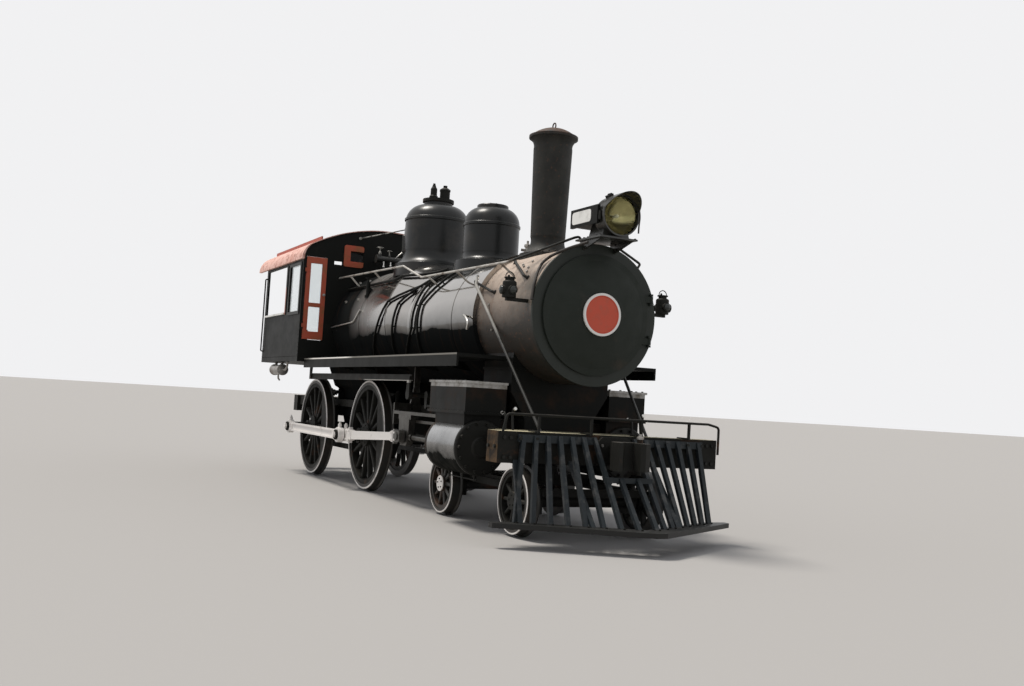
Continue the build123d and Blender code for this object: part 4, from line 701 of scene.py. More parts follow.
def rounded_run(points, bend, steps=5):
    """The points of a line whose corners are rounded."""
    run = [points[0]]
    for a, b, c in zip(points, points[1:], points[2:]):
        cut = min(bend, (b - a).length * 0.45, (c - b).length * 0.45)
        start, end = b + (a - b).normalized() * cut, b + (c - b).normalized() * cut
        for k in range(steps + 1):
            t = k / steps
            run.append((1 - t) ** 2 * start + 2 * t * (1 - t) * b + t * t * end)
    return run + [points[-1]]


def add_tube(bm, points, radius, bend=0.05, sides=10):
    """Adds a round tube with closed ends along points."""
    run = rounded_run([Vector(p) for p in points], bend)
    side = (run[1] - run[0]).orthogonal().normalized()
    rings = []
    for i, p in enumerate(run):
        ahead = (run[min(i + 1, len(run) - 1)] - run[max(i - 1, 0)]).normalized()
        side = (side - ahead * side.dot(ahead)).normalized()
        up = ahead.cross(side)
        rings.append([bm.verts.new(p + side * u + up * v) for u, v in circle(radius, sides)])
    for a, b in zip(rings, rings[1:]):
        for k in range(sides):
            m = (k + 1) % sides
            bm.faces.new((a[k], a[m], b[m], b[k]))
    bm.faces.new(rings[0])
    bm.faces.new(rings[-1])


def stud_tree():
    """Geometry Nodes: a stud on every point, standing along the point's "facing"."""
    tree = bpy.data.node_groups.new("studs_on_points", "GeometryNodeTree")
    for name, kind in (("Geometry", "Geometry"), ("Sides", "Int"), ("Base Radius", "Float"),
                       ("Top Radius", "Float"), ("Height", "Float"), ("Finish", "Material")):
        tree.interface.new_socket(name, in_out="INPUT", socket_type="NodeSocket" + kind)
    tree.interface.new_socket("Geometry", in_out="OUTPUT", socket_type="NodeSocketGeometry")
    wiring = Wiring(tree)
    given = wiring.node("NodeGroupInput", {}).outputs
    cone = wiring.node("GeometryNodeMeshCone", {
        "Vertices": given["Sides"], "Radius Bottom": given["Base Radius"],
        "Radius Top": given["Top Radius"], "Depth": given["Height"]})
    facing = wiring.node("GeometryNodeInputNamedAttribute", {"Name": "facing"}, data_type="FLOAT_VECTOR")
    turn = wiring.node("FunctionNodeAlignRotationToVector", {"Vector": facing.outputs["Attribute"]}, axis="Z")
    placed = wiring.node("GeometryNodeInstanceOnPoints", {
        "Points": given["Geometry"], "Instance": cone.outputs["Mesh"], "Rotation": turn.outputs["Rotation"]})
    real = wiring.node("GeometryNodeRealizeInstances", {"Geometry": placed.outputs["Instances"]})
    painted = wiring.node("GeometryNodeSetMaterial",
                          {"Geometry": real.outputs["Geometry"], "Material": given["Finish"]})
    wiring.node("NodeGroupOutput", {"Geometry": painted.outputs["Geometry"]})
    return tree


def studs(name, points, radius, height, finish, sides=8, taper=0.62, body="engine"):
    """One mesh of studs at (place, facing) points."""
    mesh = bpy.data.meshes.new(name + "_points")
    mesh.from_pydata([p for p, _ in points], [], [])
    facing = mesh.attributes.new("facing", "FLOAT_VECTOR", "POINT")
    for item, (_, direction) in zip(facing.data, points):
        item.vector = Vector(direction).normalized()
    holder = bpy.data.objects.new(name + "_holder", mesh)
    bpy.context.scene.collection.objects.link(holder)
    tree = bpy.data.node_groups.get("studs_on_points") or stud_tree()
    modifier = holder.modifiers.new("studs", "NODES")
    modifier.node_group = tree
    values = {"Sides": sides, "Base Radius": radius, "Top Radius": radius * taper, "Height": height,
              "Finish": FINISHES[finish]}
    for item in tree.interface.items_tree:
        if item.in_out == "INPUT" and item.name in values:
            modifier[item.identifier] = values[item.name]
    bpy.context.view_layer.update()
    graph = bpy.context.evaluated_depsgraph_get()
    real = bpy.data.meshes.new_from_object(holder.evaluated_get(graph))
    bpy.data.objects.remove(holder)
    bpy.data.meshes.remove(mesh)
    if not real.polygons:
        raise RuntimeError(f"{name} has no studs")
    return keep(name, real, finish, body)


def mirrored(places, facing):
    """(place, facing) points from places on the left, and the same on the right."""
    return [((x, side * y, z), (facing[0], side * facing[1], facing[2]))
            for side in SIDES for x, y, z in places]


def along(start, end, count):
    """Places spread evenly from start to end."""
    return [Vector(start).lerp(Vector(end), i / (count - 1)) for i in range(count)]


def on_circle(centre, radius, count, axis, offset=0.0):
    """Points round a circle that face along axis."""
    axis = Vector(axis)
    u = axis.orthogonal().normalized()
    v = axis.cross(u)
    return [(Vector(centre) + radius * (u * math.cos(a) + v * math.sin(a)), axis)
            for a in (offset + 2 * math.pi * i / count for i in range(count))]


def on_round(x, degrees, radius, centre_z, side=1):
    """A point on a round form along x, by its angle above level, facing outward."""
    angle = math.radians(degrees)
    out = Vector((0, side * math.cos(angle), math.sin(angle)))
    return Vector((x, 0, centre_z)) + out * radius, out


def on_barrel(x, degrees, lift, side=1):
    """A point over the barrel or smokebox, facing outward."""
    return on_round(x, degrees, (SMOKE_R if x > SMOKE_X0 else BARREL_R) + lift, AXIS_Z, side)


def roof_z(y):
    """The height of the roof's outer face."""
    return ROOF[1].z - ROOF_R + math.sqrt(ROOF_R ** 2 - y ** 2)


def crank_pin(tyre, turn):
    """The middle of a driver's crank pin."""
    return middle(tyre) + CRANK_R * Vector((math.cos(turn), 0, math.sin(turn)))


# Operators
class LOCO_OT_finishes(bpy.types.Operator):
    """Gives every CAD node its paint"""
    bl_idname = "loco.finishes"
    bl_label = "Paint the engine"

    def execute(self, context):
        for make in FINISH_MAKERS:
            make(context.scene.loco_finish)
        for name, node in NODES.items():
            if name not in NODE_FINISHES:
                raise RuntimeError(f"no finish for {name}")
            node.data.materials.clear()
            node.data.materials.append(FINISHES[NODE_FINISHES[name]])
        return {"FINISHED"}


class LOCO_OT_rivets(bpy.types.Operator):
    """Rows of rivets on the smokebox and the cab's sides"""
    bl_idname = "loco.rivets"
    bl_label = "Rivets"

    def execute(self, context):
        s = context.scene.loco_studs
        rows = [on_round(x, degrees, SMOKE_R - 0.001, AXIS_Z)
                for x in (RING_X - 0.11, SMOKE_X0 + 0.055) for degrees in range(-30, 211, 6)]
        studs("smokebox_barrel_rivets", rows, s.rivet_radius, s.rivet_height, "barrel")

        y, low = CAB[1].y - 0.0005, CAB[0].z + 0.03
        cab = along((CAB[0].x + 0.05, y, low), (CAB[1].x - 0.09, y, low), 34)
        for x in (CAB[1].x - 0.065, CAB[0].x + 0.03):
            cab += along((x, y, low + 0.02), (x, y, CAB[1].z - 0.75), 22)
        studs("cab_rivets", mirrored(cab, OUT), s.rivet_radius * 0.8, s.rivet_height * 0.7, "satin_black_cab")
        return {"FINISHED"}


class LOCO_OT_bolts(bpy.types.Operator):
    """Bolts on cylinder heads and steam chests"""
    bl_idname = "loco.bolts"
    bl_label = "Bolts"

    def execute(self, context):
        s = context.scene.loco_studs
        heads = []
        for side in SIDES:
            centre = (HEADS[1].x - 0.05, side * (HEADS[1].y - CYLINDER_IN), CYLINDER_Z)
            heads += on_circle(centre, 0.262, s.head_bolts, FORE, 0.1)
        studs("cylinder_head_bolts", heads, s.bolt_radius, s.bolt_height * 2, "dull_black_iron", 6, 1)
        x0, x1, y0, y1 = 2.36, 3.26, 0.685, 1.14
        lid = along((x0, y0, LID_Z), (x1, y0, LID_Z), 8) + along((x0, y1, LID_Z), (x1, y1, LID_Z), 8)
        lid += [(x, y, LID_Z) for x in (x0, x1) for y in (y0 + 0.15, y1 - 0.15)]
        studs("steam_chest_bolts", mirrored(lid, UP), 0.013, 0.012, "black_iron", 6, 1)
        return {"FINISHED"}


class LOCO_OT_headlight(bpy.types.Operator):
    """The headlight's reflector and burner"""
    bl_idname = "loco.headlight"
    bl_label = "Headlight"

    def execute(self, context):
        x, radius, depth = GLASS[0].x - 0.006, LIGHT_R - 0.004, 0.115
        bm = bmesh.new()
        bowl = [(radius * math.sqrt(1 - i / 12), -depth * i / 12) for i in range(13)]
        add_turned(bm, bowl, (x, 0, LIGHT_Z), FORE, 48)
        reflector = from_bmesh("headlight_reflector", bm, "brass", 60)
        reflector.data.flip_normals()
        bm = bmesh.new()
        add_turned(bm, [(0, 0), (0.016, 0.004), (0.02, 0.03), (0.02, 0.07), (0.012, 0.088), (0, 0.092)],
                   (x - 0.108, 0, LIGHT_Z), FORE, 20)
        from_bmesh("headlight_burner", bm, "pale_panel", 60)
        return {"FINISHED"}


class LOCO_OT_smokebox_fittings(bpy.types.Operator):
    """Straps, conduit, handrail ends, plugs and stack rivets on the smokebox, and the barrel's top valve"""
    bl_idname = "loco.smokebox_fittings"
    bl_label = "Smokebox fittings"

    def execute(self, context):
        bm = bmesh.new()
        pads = []
        for side in SIDES:
            for (x0, a0), (x1, a1) in STRAPS:
                run = [(x0, a0, 0.002), (x0 + 0.03, a0, 0.035)]
                run += [(x0 + (x1 - x0) * t, a0 + (a1 - a0) * t, 0.035) for t in (0.3, 0.6)]
                run += [(x1 - 0.03, a1, 0.035), (x1, a1, 0.002)]
                add_tube(bm, [on_barrel(*spot, side)[0] for spot in run], 0.016, 0.03)
                pads += [on_barrel(x, degrees, -0.002, side) for x, degrees in ((x0, a0), (x1, a1))]
        from_bmesh("smokebox_straps", bm, "black_iron", 60)
        studs("strap_pads", pads, 0.026, 0.012, "black_iron", 12, 1)
        studs("strap_nuts", [(p + out * 0.012, out) for p, out in pads], 0.012, 0.012, "oily_steel", 6, 1)
        bm = bmesh.new()
        add_tube(bm, [on_barrel(x, degrees, CONDUIT_LIFT, -1)[0] for x, degrees in CONDUIT], 0.015, 0.04)
        from_bmesh("lamp_conduit", bm, "dark_leather", 60)
        bm = bmesh.new()
        for side in SIDES:
            add_tube(bm, [(x, side * y, z) for x, y, z in RAIL_END], 0.0138, 0.02)
        from_bmesh("handrail_ends", bm, "black_iron", 60)
        x, y, _ = RAIL_END[-1]
        studs("handrail_end_flanges", mirrored([(x, y, SHELF_Z)], UP), 0.028, 0.010, "black_iron", 16, 1)
        plugs = [on_barrel(x, degrees, -0.002, side) for side in SIDES for x, degrees in (
            (3.235, 47), (3.31, 44), (3.40, 50), (3.47, 41), (3.52, 36), (2.90, 8), (2.98, -14))]
        studs("smokebox_plugs", plugs, 0.015, 0.020, "worn_steel", 6, 0.9)
        bm = bmesh.new()
        top = AXIS_Z + BARREL_R
        add_turned(bm, [(0.045, -0.01), (0.045, 0.03), (0.028, 0.045), (0.028, 0.11), (0.042, 0.125),
                        (0.042, 0.15), (0.014, 0.165), (0.014, 0.198), (0, 0.20)], (TOP_VALVE_X, 0, top))
        add_turned(bm, [(0.018, -0.08), (0.018, 0.02)], (TOP_VALVE_X, 0, top + 0.08), OUT, 12)
        from_bmesh("barrel_top_valve", bm, "worn_steel")

        s = context.scene.loco_studs
        foot = []
        for across, sideways in circle(1, 28):
            z = AXIS_Z + math.sqrt(SMOKE_R ** 2 - (STACK_FOOT_R * sideways) ** 2) + 0.035
            out = Vector((across, sideways, 0))
            foot.append((Vector((middle(STACK).x, 0, z)) + out * (STACK_FOOT_R - 0.002), out))
        studs("stack_foot_rivets", foot, s.rivet_radius, s.rivet_height * 1.4, "stack")
        return {"FINISHED"}


class LOCO_OT_lamp_fittings(bpy.types.Operator):
    """Panels, latch, hinge and strap of the headlight; lenses, bails and knobs of the marker lamps"""
    bl_idname = "loco.lamp_fittings"
    bl_label = "Lamp fittings"

    def execute(self, context):
        self.number_panels()
        bm = bmesh.new()
        x = GLASS[0].x
        add_box(bm, (x - 0.075, -0.135, LIGHT_Z + 0.175), (x + 0.012, -0.085, LIGHT_Z + 0.212),
                Matrix.Rotation(math.radians(28), 4, "X"))
        add_turned(bm, [(0.012, -0.03), (0.012, 0.03), (0, 0.03)],
                   (x - 0.02, -0.115, LIGHT_Z + 0.212), FORE, 12)
        for side in SIDES:
            add_turned(bm, [(0.016, -0.045), (0.016, 0.045), (0, 0.045)],
                       (x - 0.01, side * 0.226, LIGHT_Z - 0.02), UP, 12)
        from_bmesh("headlight_latch_and_hinge", bm, "black_iron")
        bm = bmesh.new()
        tip = x + 0.058
        add_tube(bm, [(tip, 0.206, LIGHT_Z + 0.085), (tip + 0.014, 0.212, LIGHT_Z),
                      (tip + 0.006, 0.208, LIGHT_Z - 0.09), (tip + 0.014, 0.202, LIGHT_Z - 0.17)], 0.009, 0.04)
        from_bmesh("visor_strap", bm, "dark_leather", 60)
        shelf = [(x, 0.212, SHELF_Z - 0.001) for x in (4.02, 4.10, 4.27, 4.35)]
        studs("lamp_shelf_bolts", mirrored(shelf, UP), 0.013, 0.012, "black_iron", 6, 1)

        lenses, trim = bmesh.new(), bmesh.new()
        x, z = LAMPS[0].x + 0.1, LAMPS[0].z + 0.11
        for side in SIDES:
            y = side * (LAMPS[1].y - 0.095)
            for axis, reach in ((FORE, 0.1), ((-1, 0, 0), 0.1), ((0, side, 0), 0.095)):
                start = Vector((x, y, z)) + Vector(axis) * (reach - 0.001)
                add_turned(lenses, [(0.040, 0), (0.036, 0.008), (0.024, 0.015), (0, 0.018)], start, axis, 24)
            bail = ((-0.05, 0.085), (-0.05, 0.17), (0, 0.20), (0.05, 0.17), (0.05, 0.085))
            add_tube(trim, [(x, y + across, z + up) for across, up in bail], 0.005, 0.04)
            add_turned(trim, [(0.012, 0), (0.012, 0.02), (0.006, 0.026), (0, 0.028)],
                       (x - 0.03, y, z + 0.139), UP, 12)
        from_bmesh("marker_lenses", lenses, "dark_lens", 60)
        from_bmesh("marker_bails", trim, "black_iron", 60)
        return {"FINISHED"}

    def number_panels(self):
        """Pale blank panels with rounded corners on the board case's cheeks."""
        x0, x1 = BOARDS[0].x + 0.040, BOARDS[0].x + 0.425
        z0, z1 = BOARDS[0].z + 0.032, BOARDS[1].z - 0.032
        corner, thick = 0.035, 0.004
        outline = []
        for cx, cz, start in ((x1 - corner, z1 - corner, 0), (x0 + corner, z1 - corner, 90),
                              (x0 + corner, z0 + corner, 180), (x1 - corner, z0 + corner, 270)):
            for angle in (math.radians(start + 15 * k) for k in range(7)):
                outline.append((cx + corner * math.cos(angle), cz + corner * math.sin(angle)))
        bm = bmesh.new()
        for side in SIDES:
            inner, outer = ([bm.verts.new((x, side * y, z)) for x, z in outline]
                            for y in (BOARDS[1].y, BOARDS[1].y + thick))
            bm.faces.new(outer)
            for i in range(len(outline)):
                bm.faces.new((inner[i - 1], inner[i], outer[i], outer[i - 1]))
        from_bmesh("number_board_panels", bm, "pale_panel")


class LOCO_OT_driver_details(bpy.types.Operator):
    """Nuts, bolts and cup caps on the driving wheels and rods"""
    bl_idname = "loco.driver_details"
    bl_label = "Drivers and rods"

    def execute(self, context):
        for name, tyre in (("front", FRONT_TYRE), ("rear", REAR_TYRE)):
            hub = middle(tyre)
            nuts, bolts = [], []
            for side, turn in CRANKS.values():
                pin, out = crank_pin(tyre, turn), (0, side, 0)
                nuts.append(((pin.x, side * (PIN_FACE_Y + 0.01), pin.z), out))
                bolts += on_circle((pin.x, side * PIN_FACE_Y, pin.z), 0.056, 6, out)
                bolts += on_circle((hub.x, side * HUB_FACE_Y, hub.z), 0.125, 8, out)
            body = f"{name}_drivers"
            studs(f"{name}_crank_pin_nuts", nuts, 0.047, 0.028, "off_white_rods", 6, 0.92, body)
            studs(f"{name}_wheel_bolts", bolts, 0.011, 0.012, "black_iron", 6, 1, body)
        for name, (side, turn) in CRANKS.items():
            front, rear = crank_pin(FRONT_TYRE, turn), crank_pin(REAR_TYRE, turn)
            tilt = math.asin((CYLINDER_Z - front.z) / MAIN_ROD)
            along_rod = Vector((math.cos(tilt), 0, math.sin(tilt)))
            across = Vector((-math.sin(tilt), 0, math.cos(tilt)))
            out = (0, side, 0)
            straps, caps = [], []
            for reach, lift in ((0.14, 0.06), (0.265, 0.06),
                                (MAIN_ROD - 0.19, 0.045), (MAIN_ROD - 0.06, 0.045)):
                for spot in (front + along_rod * reach + across * way * lift for way in SIDES):
                    straps.append(((spot.x, side * MAIN_ROD_Y, spot.z), out))
            for end, inward in ((rear, 0.13), (front, -0.13)):
                straps += [((end.x + inward, side * SIDE_ROD_Y, end.z + lift), out)
                           for lift in (0.045, -0.045)]
                caps.append(((end.x, side * 1.12, end.z + 0.175), UP))
            body = f"{name}_rods"
            studs(f"{body}_strap_bolts", straps, 0.015, 0.018, "off_white_rods", 6, 1, body)
            studs(f"{body}_cup_caps", caps, 0.010, 0.016, "bright_steel", 10, 0.7, body)
        return {"FINISHED"}


class LOCO_OT_frame_details(bpy.types.Operator):
    """Nuts and bolts of the frames, guides and truck, and the cylinders' drain cocks"""
    bl_idname = "loco.frame_details"
    bl_label = "Frames, guides and truck"

    def execute(self, context):
        nuts = mirrored([(x, y, 1.185) for x in (0.72, 0.80, 2.28, 2.345) for y in (0.89, 0.937)], UP)
        nuts += mirrored([(0.665, 0.72, z) for z in (1.16, 1.22, 1.28)], FORE)
        for x in (middle(FRONT_TYRE).x, middle(REAR_TYRE).x):
            nuts += mirrored([(x - 0.4125, 0.543, 1.429), (x, 0.543, 1.423), (x + 0.4125, 0.543, 1.429)], UP)
            nuts += mirrored([(x + dx, FRAME_Y, z) for dx in (-0.22, 0.22) for z in (0.535, 1.215)], OUT)
        nuts += mirrored([(x, FRAME_Y, 0.85) for x in (2.45, 2.75, 3.05)], OUT)
        studs("frame_and_guide_nuts", nuts, 0.017, 0.018, "black_iron", 6, 1)

        bm = bmesh.new()
        for y in (0.925, -0.925):
            for x in (2.50, 2.86, 3.17):
                add_turned(bm, [(0.02, 0.02), (0.02, -0.02), (0.012, -0.03), (0.012, -0.065), (0, -0.066)],
                           (x, y, 0.564), UP, 12)
            add_tube(bm, [(2.44, y, 0.515), (3.22, y, 0.515)], 0.007)
        from_bmesh("cylinder_drain_cocks", bm, "black_iron", 60)

        nuts = []
        hubs = {name: middle(corners) for name, corners in TRUCK_TYRES.items()}
        for name, hub in hubs.items():
            bolts = []
            for side in SIDES:
                bolts += on_circle((hub.x, side * TRUCK_HUB_Y, hub.z), 0.055, 5, (0, side, 0), 0.3)
            studs(f"{name}_hub_bolts", bolts, 0.009, 0.010, "black_iron", 6, 1, name)
            nuts += mirrored([(hub.x + dx, TRUCK_FRAME_Y, hub.z + dz)
                              for dx in (-0.1, 0.1) for dz in (-0.08, 0.05, 0.115)], OUT)
        mid_x = sum(hub.x for hub in hubs.values()) / 2
        nuts += mirrored([(mid_x + dx, 0.58, 0.559) for dx in (-0.5, -0.25, 0.25, 0.5)], UP)
        studs("truck_frame_nuts", nuts, 0.014, 0.016, "black_iron", 6, 1, "truck")
        return {"FINISHED"}


class LOCO_OT_front_fittings(bpy.types.Operator):
    """Bolts of the beam, pilot, coupler and deck, the coupler pin's head and two pipes on each side"""
    bl_idname = "loco.front_fittings"
    bl_label = "Front end details"

    def execute(self, context):
        s = context.scene.loco_studs
        face, end = BEAM[1].x, BEAM[1].y - 0.001
        beam = mirrored([(face - 0.001, y, z) for y in (1.245, 1.175) for z in (0.85, 1.04)], FORE)
        beam += mirrored([(face + 0.033, y, 1.037) for y in (0.365, 0.635, 0.905, 1.085)], FORE)
        beam += mirrored([(face - 0.19, end, 0.95), (face - 0.05, end, 0.95)], OUT)
        studs("beam_bolts", beam, s.bolt_radius, s.bolt_height, "black_iron", 6, 1)
        foot = [(PILOT_NOSE_X - PILOT_SLANT * y, y, PILOT[0].z + 0.047)
                for y in (0.1 + 0.15 * i for i in range(8))]
        studs("pilot_foot_bolts", mirrored(foot, UP), 0.013, 0.014, "black_iron", 6, 1)
        pocket = [(face + 0.045, 0.16, 1.0), (face + 0.045, 0.16, 0.85)]
        studs("coupler_pocket_bolts", mirrored(pocket, FORE), 0.015, 0.018, "worn_steel", 6, 1)
        deck = [(x, 0.86, DECK[1].z - 0.001) for x in (3.44, 3.72, 4.0, 4.18)]
        studs("deck_bolts", mirrored(deck, UP), 0.012, 0.008, "black_iron", 8, 0.7)
        bm = bmesh.new()
        add_turned(bm, [(0.036, 0), (0.036, 0.022), (0.016, 0.03), (0.016, 0.05), (0, 0.052)],
                   (4.785, 0.115, 1.087), UP, 20)
        from_bmesh("coupler_pin_head", bm, "worn_steel")

        pipes, caps = bmesh.new(), bmesh.new()
        for y in (0.80, -0.80):
            for run in (((3.60, 1.085), (3.585, 1.235), (3.555, 1.272), (3.50, 1.264)),
                        ((3.775, 1.085), (3.745, 1.245), (3.755, 1.295), (3.80, 1.314))):
                points = [Vector((x, y, z)) for x, z in run]
                add_tube(pipes, points, 0.013, 0.05)
                ahead = (points[-1] - points[-2]).normalized()
                add_turned(caps, [(0, -0.01), (0.018, -0.008), (0.018, 0.012), (0, 0.016)],
                           points[-1], ahead, 14)
        from_bmesh("deck_pipes", pipes, "black_iron", 60)
        from_bmesh("deck_pipe_caps", caps, "bright_steel", 60)
        return {"FINISHED"}


class LOCO_OT_boiler_fittings(bpy.types.Operator):
    """Washout plugs, dome bolts, injectors, and side pipes with a hook"""
    bl_idname = "loco.boiler_fittings"
    bl_label = "Boiler fittings"

    def execute(self, context):
        plugs = [on_round(x, degrees, WAGON_R - 0.002, WAGON_Z, side) for side in SIDES
                 for x, degrees in ((-2.35, 52), (-1.9, 52), (-1.45, 52), (-2.2, 24), (-1.6, 24))]
        studs("washout_plugs", plugs, 0.024, 0.018, "worn_steel", 16, 0.9)
        squares = [(p + out * 0.016, out) for p, out in plugs]
        studs("washout_squares", squares, 0.011, 0.018, "worn_steel", 4, 1)
        sand = on_circle((middle(SAND).x, 0, SAND[1].z - 0.006), 0.10, 8, UP)
        studs("sand_lid_bolts", sand, 0.012, 0.016, "black_iron", 6, 1)
        steam = on_circle((middle(STEAM).x, 0, STEAM[1].z - 0.004), 0.165, 12, UP)
        studs("steam_dome_bolts", steam, 0.013, 0.014, "black_iron", 6, 1)

        # Injectors under the cab floor
        half = [(0.3, 0.045), (0.27, 0.045), (0.265, 0.095), (0.225, 0.095), (0.215, 0.084)]
        body = [(r, -h) for h, r in half] + [(r, h) for h, r in reversed(half)]
        bm = bmesh.new()
        for side in SIDES:
            y = side * 1.31
            add_turned(bm, [(0, -0.3), *body, (0, 0.3)], (-4.05, y, 1.70), FORE)
            for x in (-4.24, -3.86):
                add_box(bm, (x - 0.02, y - 0.02, 1.74), (x + 0.02, y + 0.02, 1.829))
            add_tube(bm, [(-3.78, y, 1.70), (-3.60, y, 1.70), (-3.52, y, 1.75), (-3.50, y, 1.829)],
                     0.018, 0.08)
            add_tube(bm, [(-4.05, y, 1.65), (-4.05, y, 1.56), (-4.20, y - side * 0.06, 1.53)], 0.016, 0.06)
        from_bmesh("injectors", bm, "worn_steel")

        # A small pipe along each side of the firebox on two stays, and a hook by the smokebox
        bm = bmesh.new()
        for side in SIDES:
            y = side * 0.884
            add_tube(bm, [(-2.60, y, 2.40), (-1.52, y, 2.44), (-1.30, side * 0.868, 2.614)], 0.012, 0.06)
            for x, degrees in ((-2.45, -1.8), (-1.62, 0.3)):
                z = WAGON_Z + 0.87 * math.sin(math.radians(degrees))
                add_tube(bm, [(x, side * 0.862, z), (x, y, z)], 0.016)
        add_tube(bm, [(2.30, -0.785, 2.37), (2.48, -0.84, 2.34), (2.60, -0.86, 2.27), (2.56, -0.85, 2.19)],
                 0.014, 0.08)
        from_bmesh("side_pipe_and_hook", bm, "bright_steel", 60)
        return {"FINISHED"}


class LOCO_OT_cab_fittings(bpy.types.Operator):
    """Armrests, grab irons, door knobs, gauges, handwheels, roof rivets and rails, and the turret's cocks"""
    bl_idname = "loco.cab_fittings"
    bl_label = "Cab details"

    def execute(self, context):
        s = context.scene.loco_studs
        rests, irons = bmesh.new(), bmesh.new()
        x, z0, z1 = CAB[0].x + 0.04, 2.02, 3.30
        for side in SIDES:
            y = side * (CAB[1].y + 0.0175)
            add_box(rests, (-4.83, y - 0.0175, 2.608), (-3.545, y + 0.0175, 2.636))
            y = side * (CAB[1].y + 0.001)
            out = y + side * 0.036
            add_tube(irons, [(x, y, z0), (x, out, z0 + 0.01), (x, out, z1 - 0.01), (x, y, z1)], 0.012, 0.03)
        from_bmesh("window_armrests", rests, "pale_panel")
        from_bmesh("cab_grab_irons", irons, "black_iron", 60)

        # The two knobs turn with their doors, so each is its own piece
        for door, y in (("left_cab_door", 1.055), ("right_cab_door", -1.055)):
            knob = bmesh.new()
            add_turned(knob, [(0.011, -0.002), (0.011, 0.03), (0.022, 0.034), (0.022, 0.05), (0, 0.056)],
                       (-2.611, y, 2.90), FORE, 16)
            from_bmesh(f"{door}_knob", knob, "worn_steel", 60, door)

        faces, wheels = bmesh.new(), bmesh.new()
        backward = (-1, 0, 0)
        for y, z, radius in ((0.33, 2.766, 0.07), (-0.06, 2.916, 0.085)):
            add_turned(faces, [(radius, 0), (radius, 0.004), (0, 0.004)],
                       (BACKHEAD_X - 0.089, y, z), backward, 28)
        from_bmesh("gauge_faces", faces, "pale_panel")
        for y, z in ((-0.48, 2.62), (0.2, 2.98), (-0.3, 2.98), (0.56, 2.40), (-0.56, 2.40)):
            add_turned(wheels, [(0.024, 0), (0.024, 0.05), (0.012, 0.055), (0.012, 0.09), (0, 0.09)],
                       (BACKHEAD_X + 0.01, y, z), backward, 14)
            hub = Vector((BACKHEAD_X - 0.075, y, z))
            rim = [hub + Vector((0, 0.045 * math.cos(a), 0.045 * math.sin(a)))
                   for a in (math.radians(18 * k) for k in range(21))]
            add_tube(wheels, rim, 0.007, 0.001, 6)
            spoke = Vector((0.004, 0.045, 0.005))
            add_box(wheels, hub - spoke, hub + spoke)
        from_bmesh("backhead_handwheels", wheels, "worn_steel", 60)

        seams = []
        for x in (ROOF[0].x + 0.06, ROOF[0].x + 0.93, ROOF[0].x + 1.86, ROOF[1].x - 0.05):
            for i in range(31):
                y = -1.2 + 2.4 * i / 30
                z = roof_z(y)
                seams.append(((x, y, z - 0.001), (0, y, z - (ROOF[1].z - ROOF_R))))
        studs("roof_rivets", seams, s.rivet_radius * 0.75, s.rivet_height * 0.7, "chalky_roof_red")
        bm = bmesh.new()
        z = roof_z(ROOF_RAIL_Y)
        for y in (ROOF_RAIL_Y, -ROOF_RAIL_Y):
            add_box(bm, (ROOF[0].x + 0.01, y - 0.011, z - 0.012), (ROOF[1].x - 0.004, y + 0.011, z + 0.048))
        from_bmesh("roof_rails", bm, "window_frame_red")

        # Cocks under the turret and levers over it
        bm = bmesh.new()
        for y, drop in ((-0.227, 0.085), (-0.11, 0.06), (0.12, 0.06), (0.23, 0.085)):
            cock = [(0.014, 0), (0.014, drop), (0.020, drop + 0.004), (0.020, drop + 0.02), (0, drop + 0.02)]
            add_turned(bm, cock, (TURRET_X, y, TURRET_Z - 0.02), (0, 0, -1), 12)
        for y in (-0.035, 0.21):
            add_tube(bm, [(TURRET_X + 0.02, y, TURRET_Z + 0.03), (TURRET_X + 0.05, y + 0.02, TURRET_Z + 0.07),
                          (TURRET_X + 0.05, y + 0.10, TURRET_Z + 0.15)], 0.010, 0.03)
        from_bmesh("turret_cocks_and_levers", bm, "bright_steel", 60)
        return {"FINISHED"}


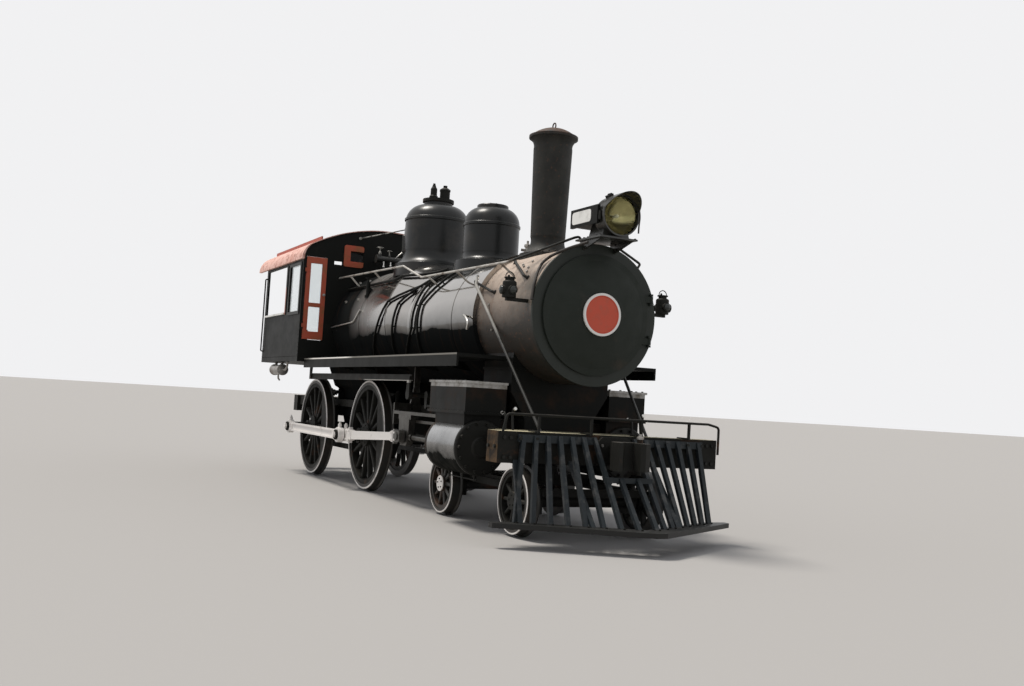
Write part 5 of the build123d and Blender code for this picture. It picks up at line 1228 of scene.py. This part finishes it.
class LOCO_OT_stage(bpy.types.Operator):
    """Pale floor, soft light and the camera"""
    bl_idname = "loco.stage"
    bl_label = "Stage"

    def execute(self, context):
        scene = context.scene
        scene.view_settings.view_transform = "Standard"
        mesh = bpy.data.meshes.new("floor")
        half = 400.0
        mesh.from_pydata([(-half, -half, 0), (half, -half, 0), (half, half, 0), (-half, half, 0)], [],
                         [(0, 1, 2, 3)])
        floor = bpy.data.objects.new("floor", mesh)
        scene.collection.objects.link(floor)
        ground = Finish("pale_floor", fixed={"Base Color": (0.39, 0.38, 0.37, 1), "Roughness": 0.95,
                                             "Specular IOR Level": 0.1})
        mesh.materials.append(ground.material)
        self.sky(scene)

        sun = bpy.data.lights.new("soft_sun", "SUN")
        sun.energy = scene.loco_stage.sun_strength
        sun.angle = math.radians(14)
        sun.color = (1.0, 0.95, 0.88)
        lamp = bpy.data.objects.new("soft_sun", sun)
        lamp.rotation_euler = Vector((-0.34, -0.30, 1.0)).to_track_quat("Z", "Y").to_euler()
        scene.collection.objects.link(lamp)
        self.camera(scene)
        return {"FINISHED"}

    def sky(self, scene):
        """Even sky light, with a paler sky where it is seen, mirrored or looked at through glass."""
        scene.world = bpy.data.worlds.new("pale_sky")
        scene.world.use_nodes = True
        wiring = Wiring(scene.world.node_tree)
        light = wiring.tree.nodes["Background"]
        light.inputs["Color"].default_value = (0.93, 0.95, 1.0, 1)
        light.inputs["Strength"].default_value = scene.loco_stage.sky_strength
        seen = wiring.node("ShaderNodeBackground", {"Color": (0.88, 0.88, 0.89, 1), "Strength": 1.0})
        rays = wiring.node("ShaderNodeLightPath", {}).outputs
        shown = wiring.maths("MAXIMUM", rays["Is Camera Ray"], rays["Is Glossy Ray"])
        shown = wiring.maths("MAXIMUM", shown, rays["Is Transmission Ray"])
        mix = wiring.node("ShaderNodeMixShader", {0: shown, 1: light.outputs[0], 2: seen.outputs[0]})
        wiring.feed(wiring.tree.nodes["World Output"].inputs[0], mix.outputs[0])

    def camera(self, scene):
        s = scene.loco_stage
        camera = bpy.data.cameras.new("photo_camera")
        camera.lens = s.lens
        camera.sensor_width = 36.0
        camera.clip_end = 1500.0
        eye = bpy.data.objects.new("photo_camera", camera)
        yaw, pitch, roll = s.camera_turn
        ahead = Vector((math.cos(yaw) * math.cos(pitch), math.sin(yaw) * math.cos(pitch), math.sin(pitch)))
        level = ahead.cross(Vector(UP)).normalized()
        upright = level.cross(ahead)
        right = level * math.cos(roll) + upright * math.sin(roll)
        turned = Matrix((right, right.cross(ahead), -ahead)).transposed()
        eye.matrix_world = Matrix.Translation(s.camera_place) @ turned.to_4x4()
        scene.collection.objects.link(eye)
        scene.camera = eye


class LOCO_PT_sidebar(bpy.types.Panel):
    """Lists the dressing steps as buttons"""
    bl_idname = "LOCO_PT_sidebar"
    bl_label = "Steam locomotive"
    bl_space_type = "VIEW_3D"
    bl_region_type = "UI"
    bl_category = "Locomotive"

    def draw(self, context):
        for operator in OPERATORS:
            self.layout.operator(operator.bl_idname)


OPERATORS = (LOCO_OT_finishes, LOCO_OT_rivets, LOCO_OT_bolts, LOCO_OT_headlight, LOCO_OT_smokebox_fittings,
             LOCO_OT_lamp_fittings, LOCO_OT_driver_details, LOCO_OT_frame_details, LOCO_OT_front_fittings,
             LOCO_OT_boiler_fittings, LOCO_OT_cab_fittings, LOCO_OT_stage)
GROUPS = {"loco_finish": LocoFinishSettings, "loco_studs": LocoStudSettings, "loco_stage": LocoStageSettings}


def register():
    for cls in (*GROUPS.values(), *OPERATORS, LOCO_PT_sidebar):
        bpy.utils.register_class(cls)
    for name, cls in GROUPS.items():
        setattr(bpy.types.Scene, name, PointerProperty(type=cls))


def unregister():
    for name in GROUPS:
        delattr(bpy.types.Scene, name)
    for cls in reversed((*GROUPS.values(), *OPERATORS, LOCO_PT_sidebar)):
        bpy.utils.unregister_class(cls)


def main():
    register()
    for operator in OPERATORS:
        group, name = operator.bl_idname.split(".")
        getattr(getattr(bpy.ops, group), name)()


if __name__ == "__main__":
    main()
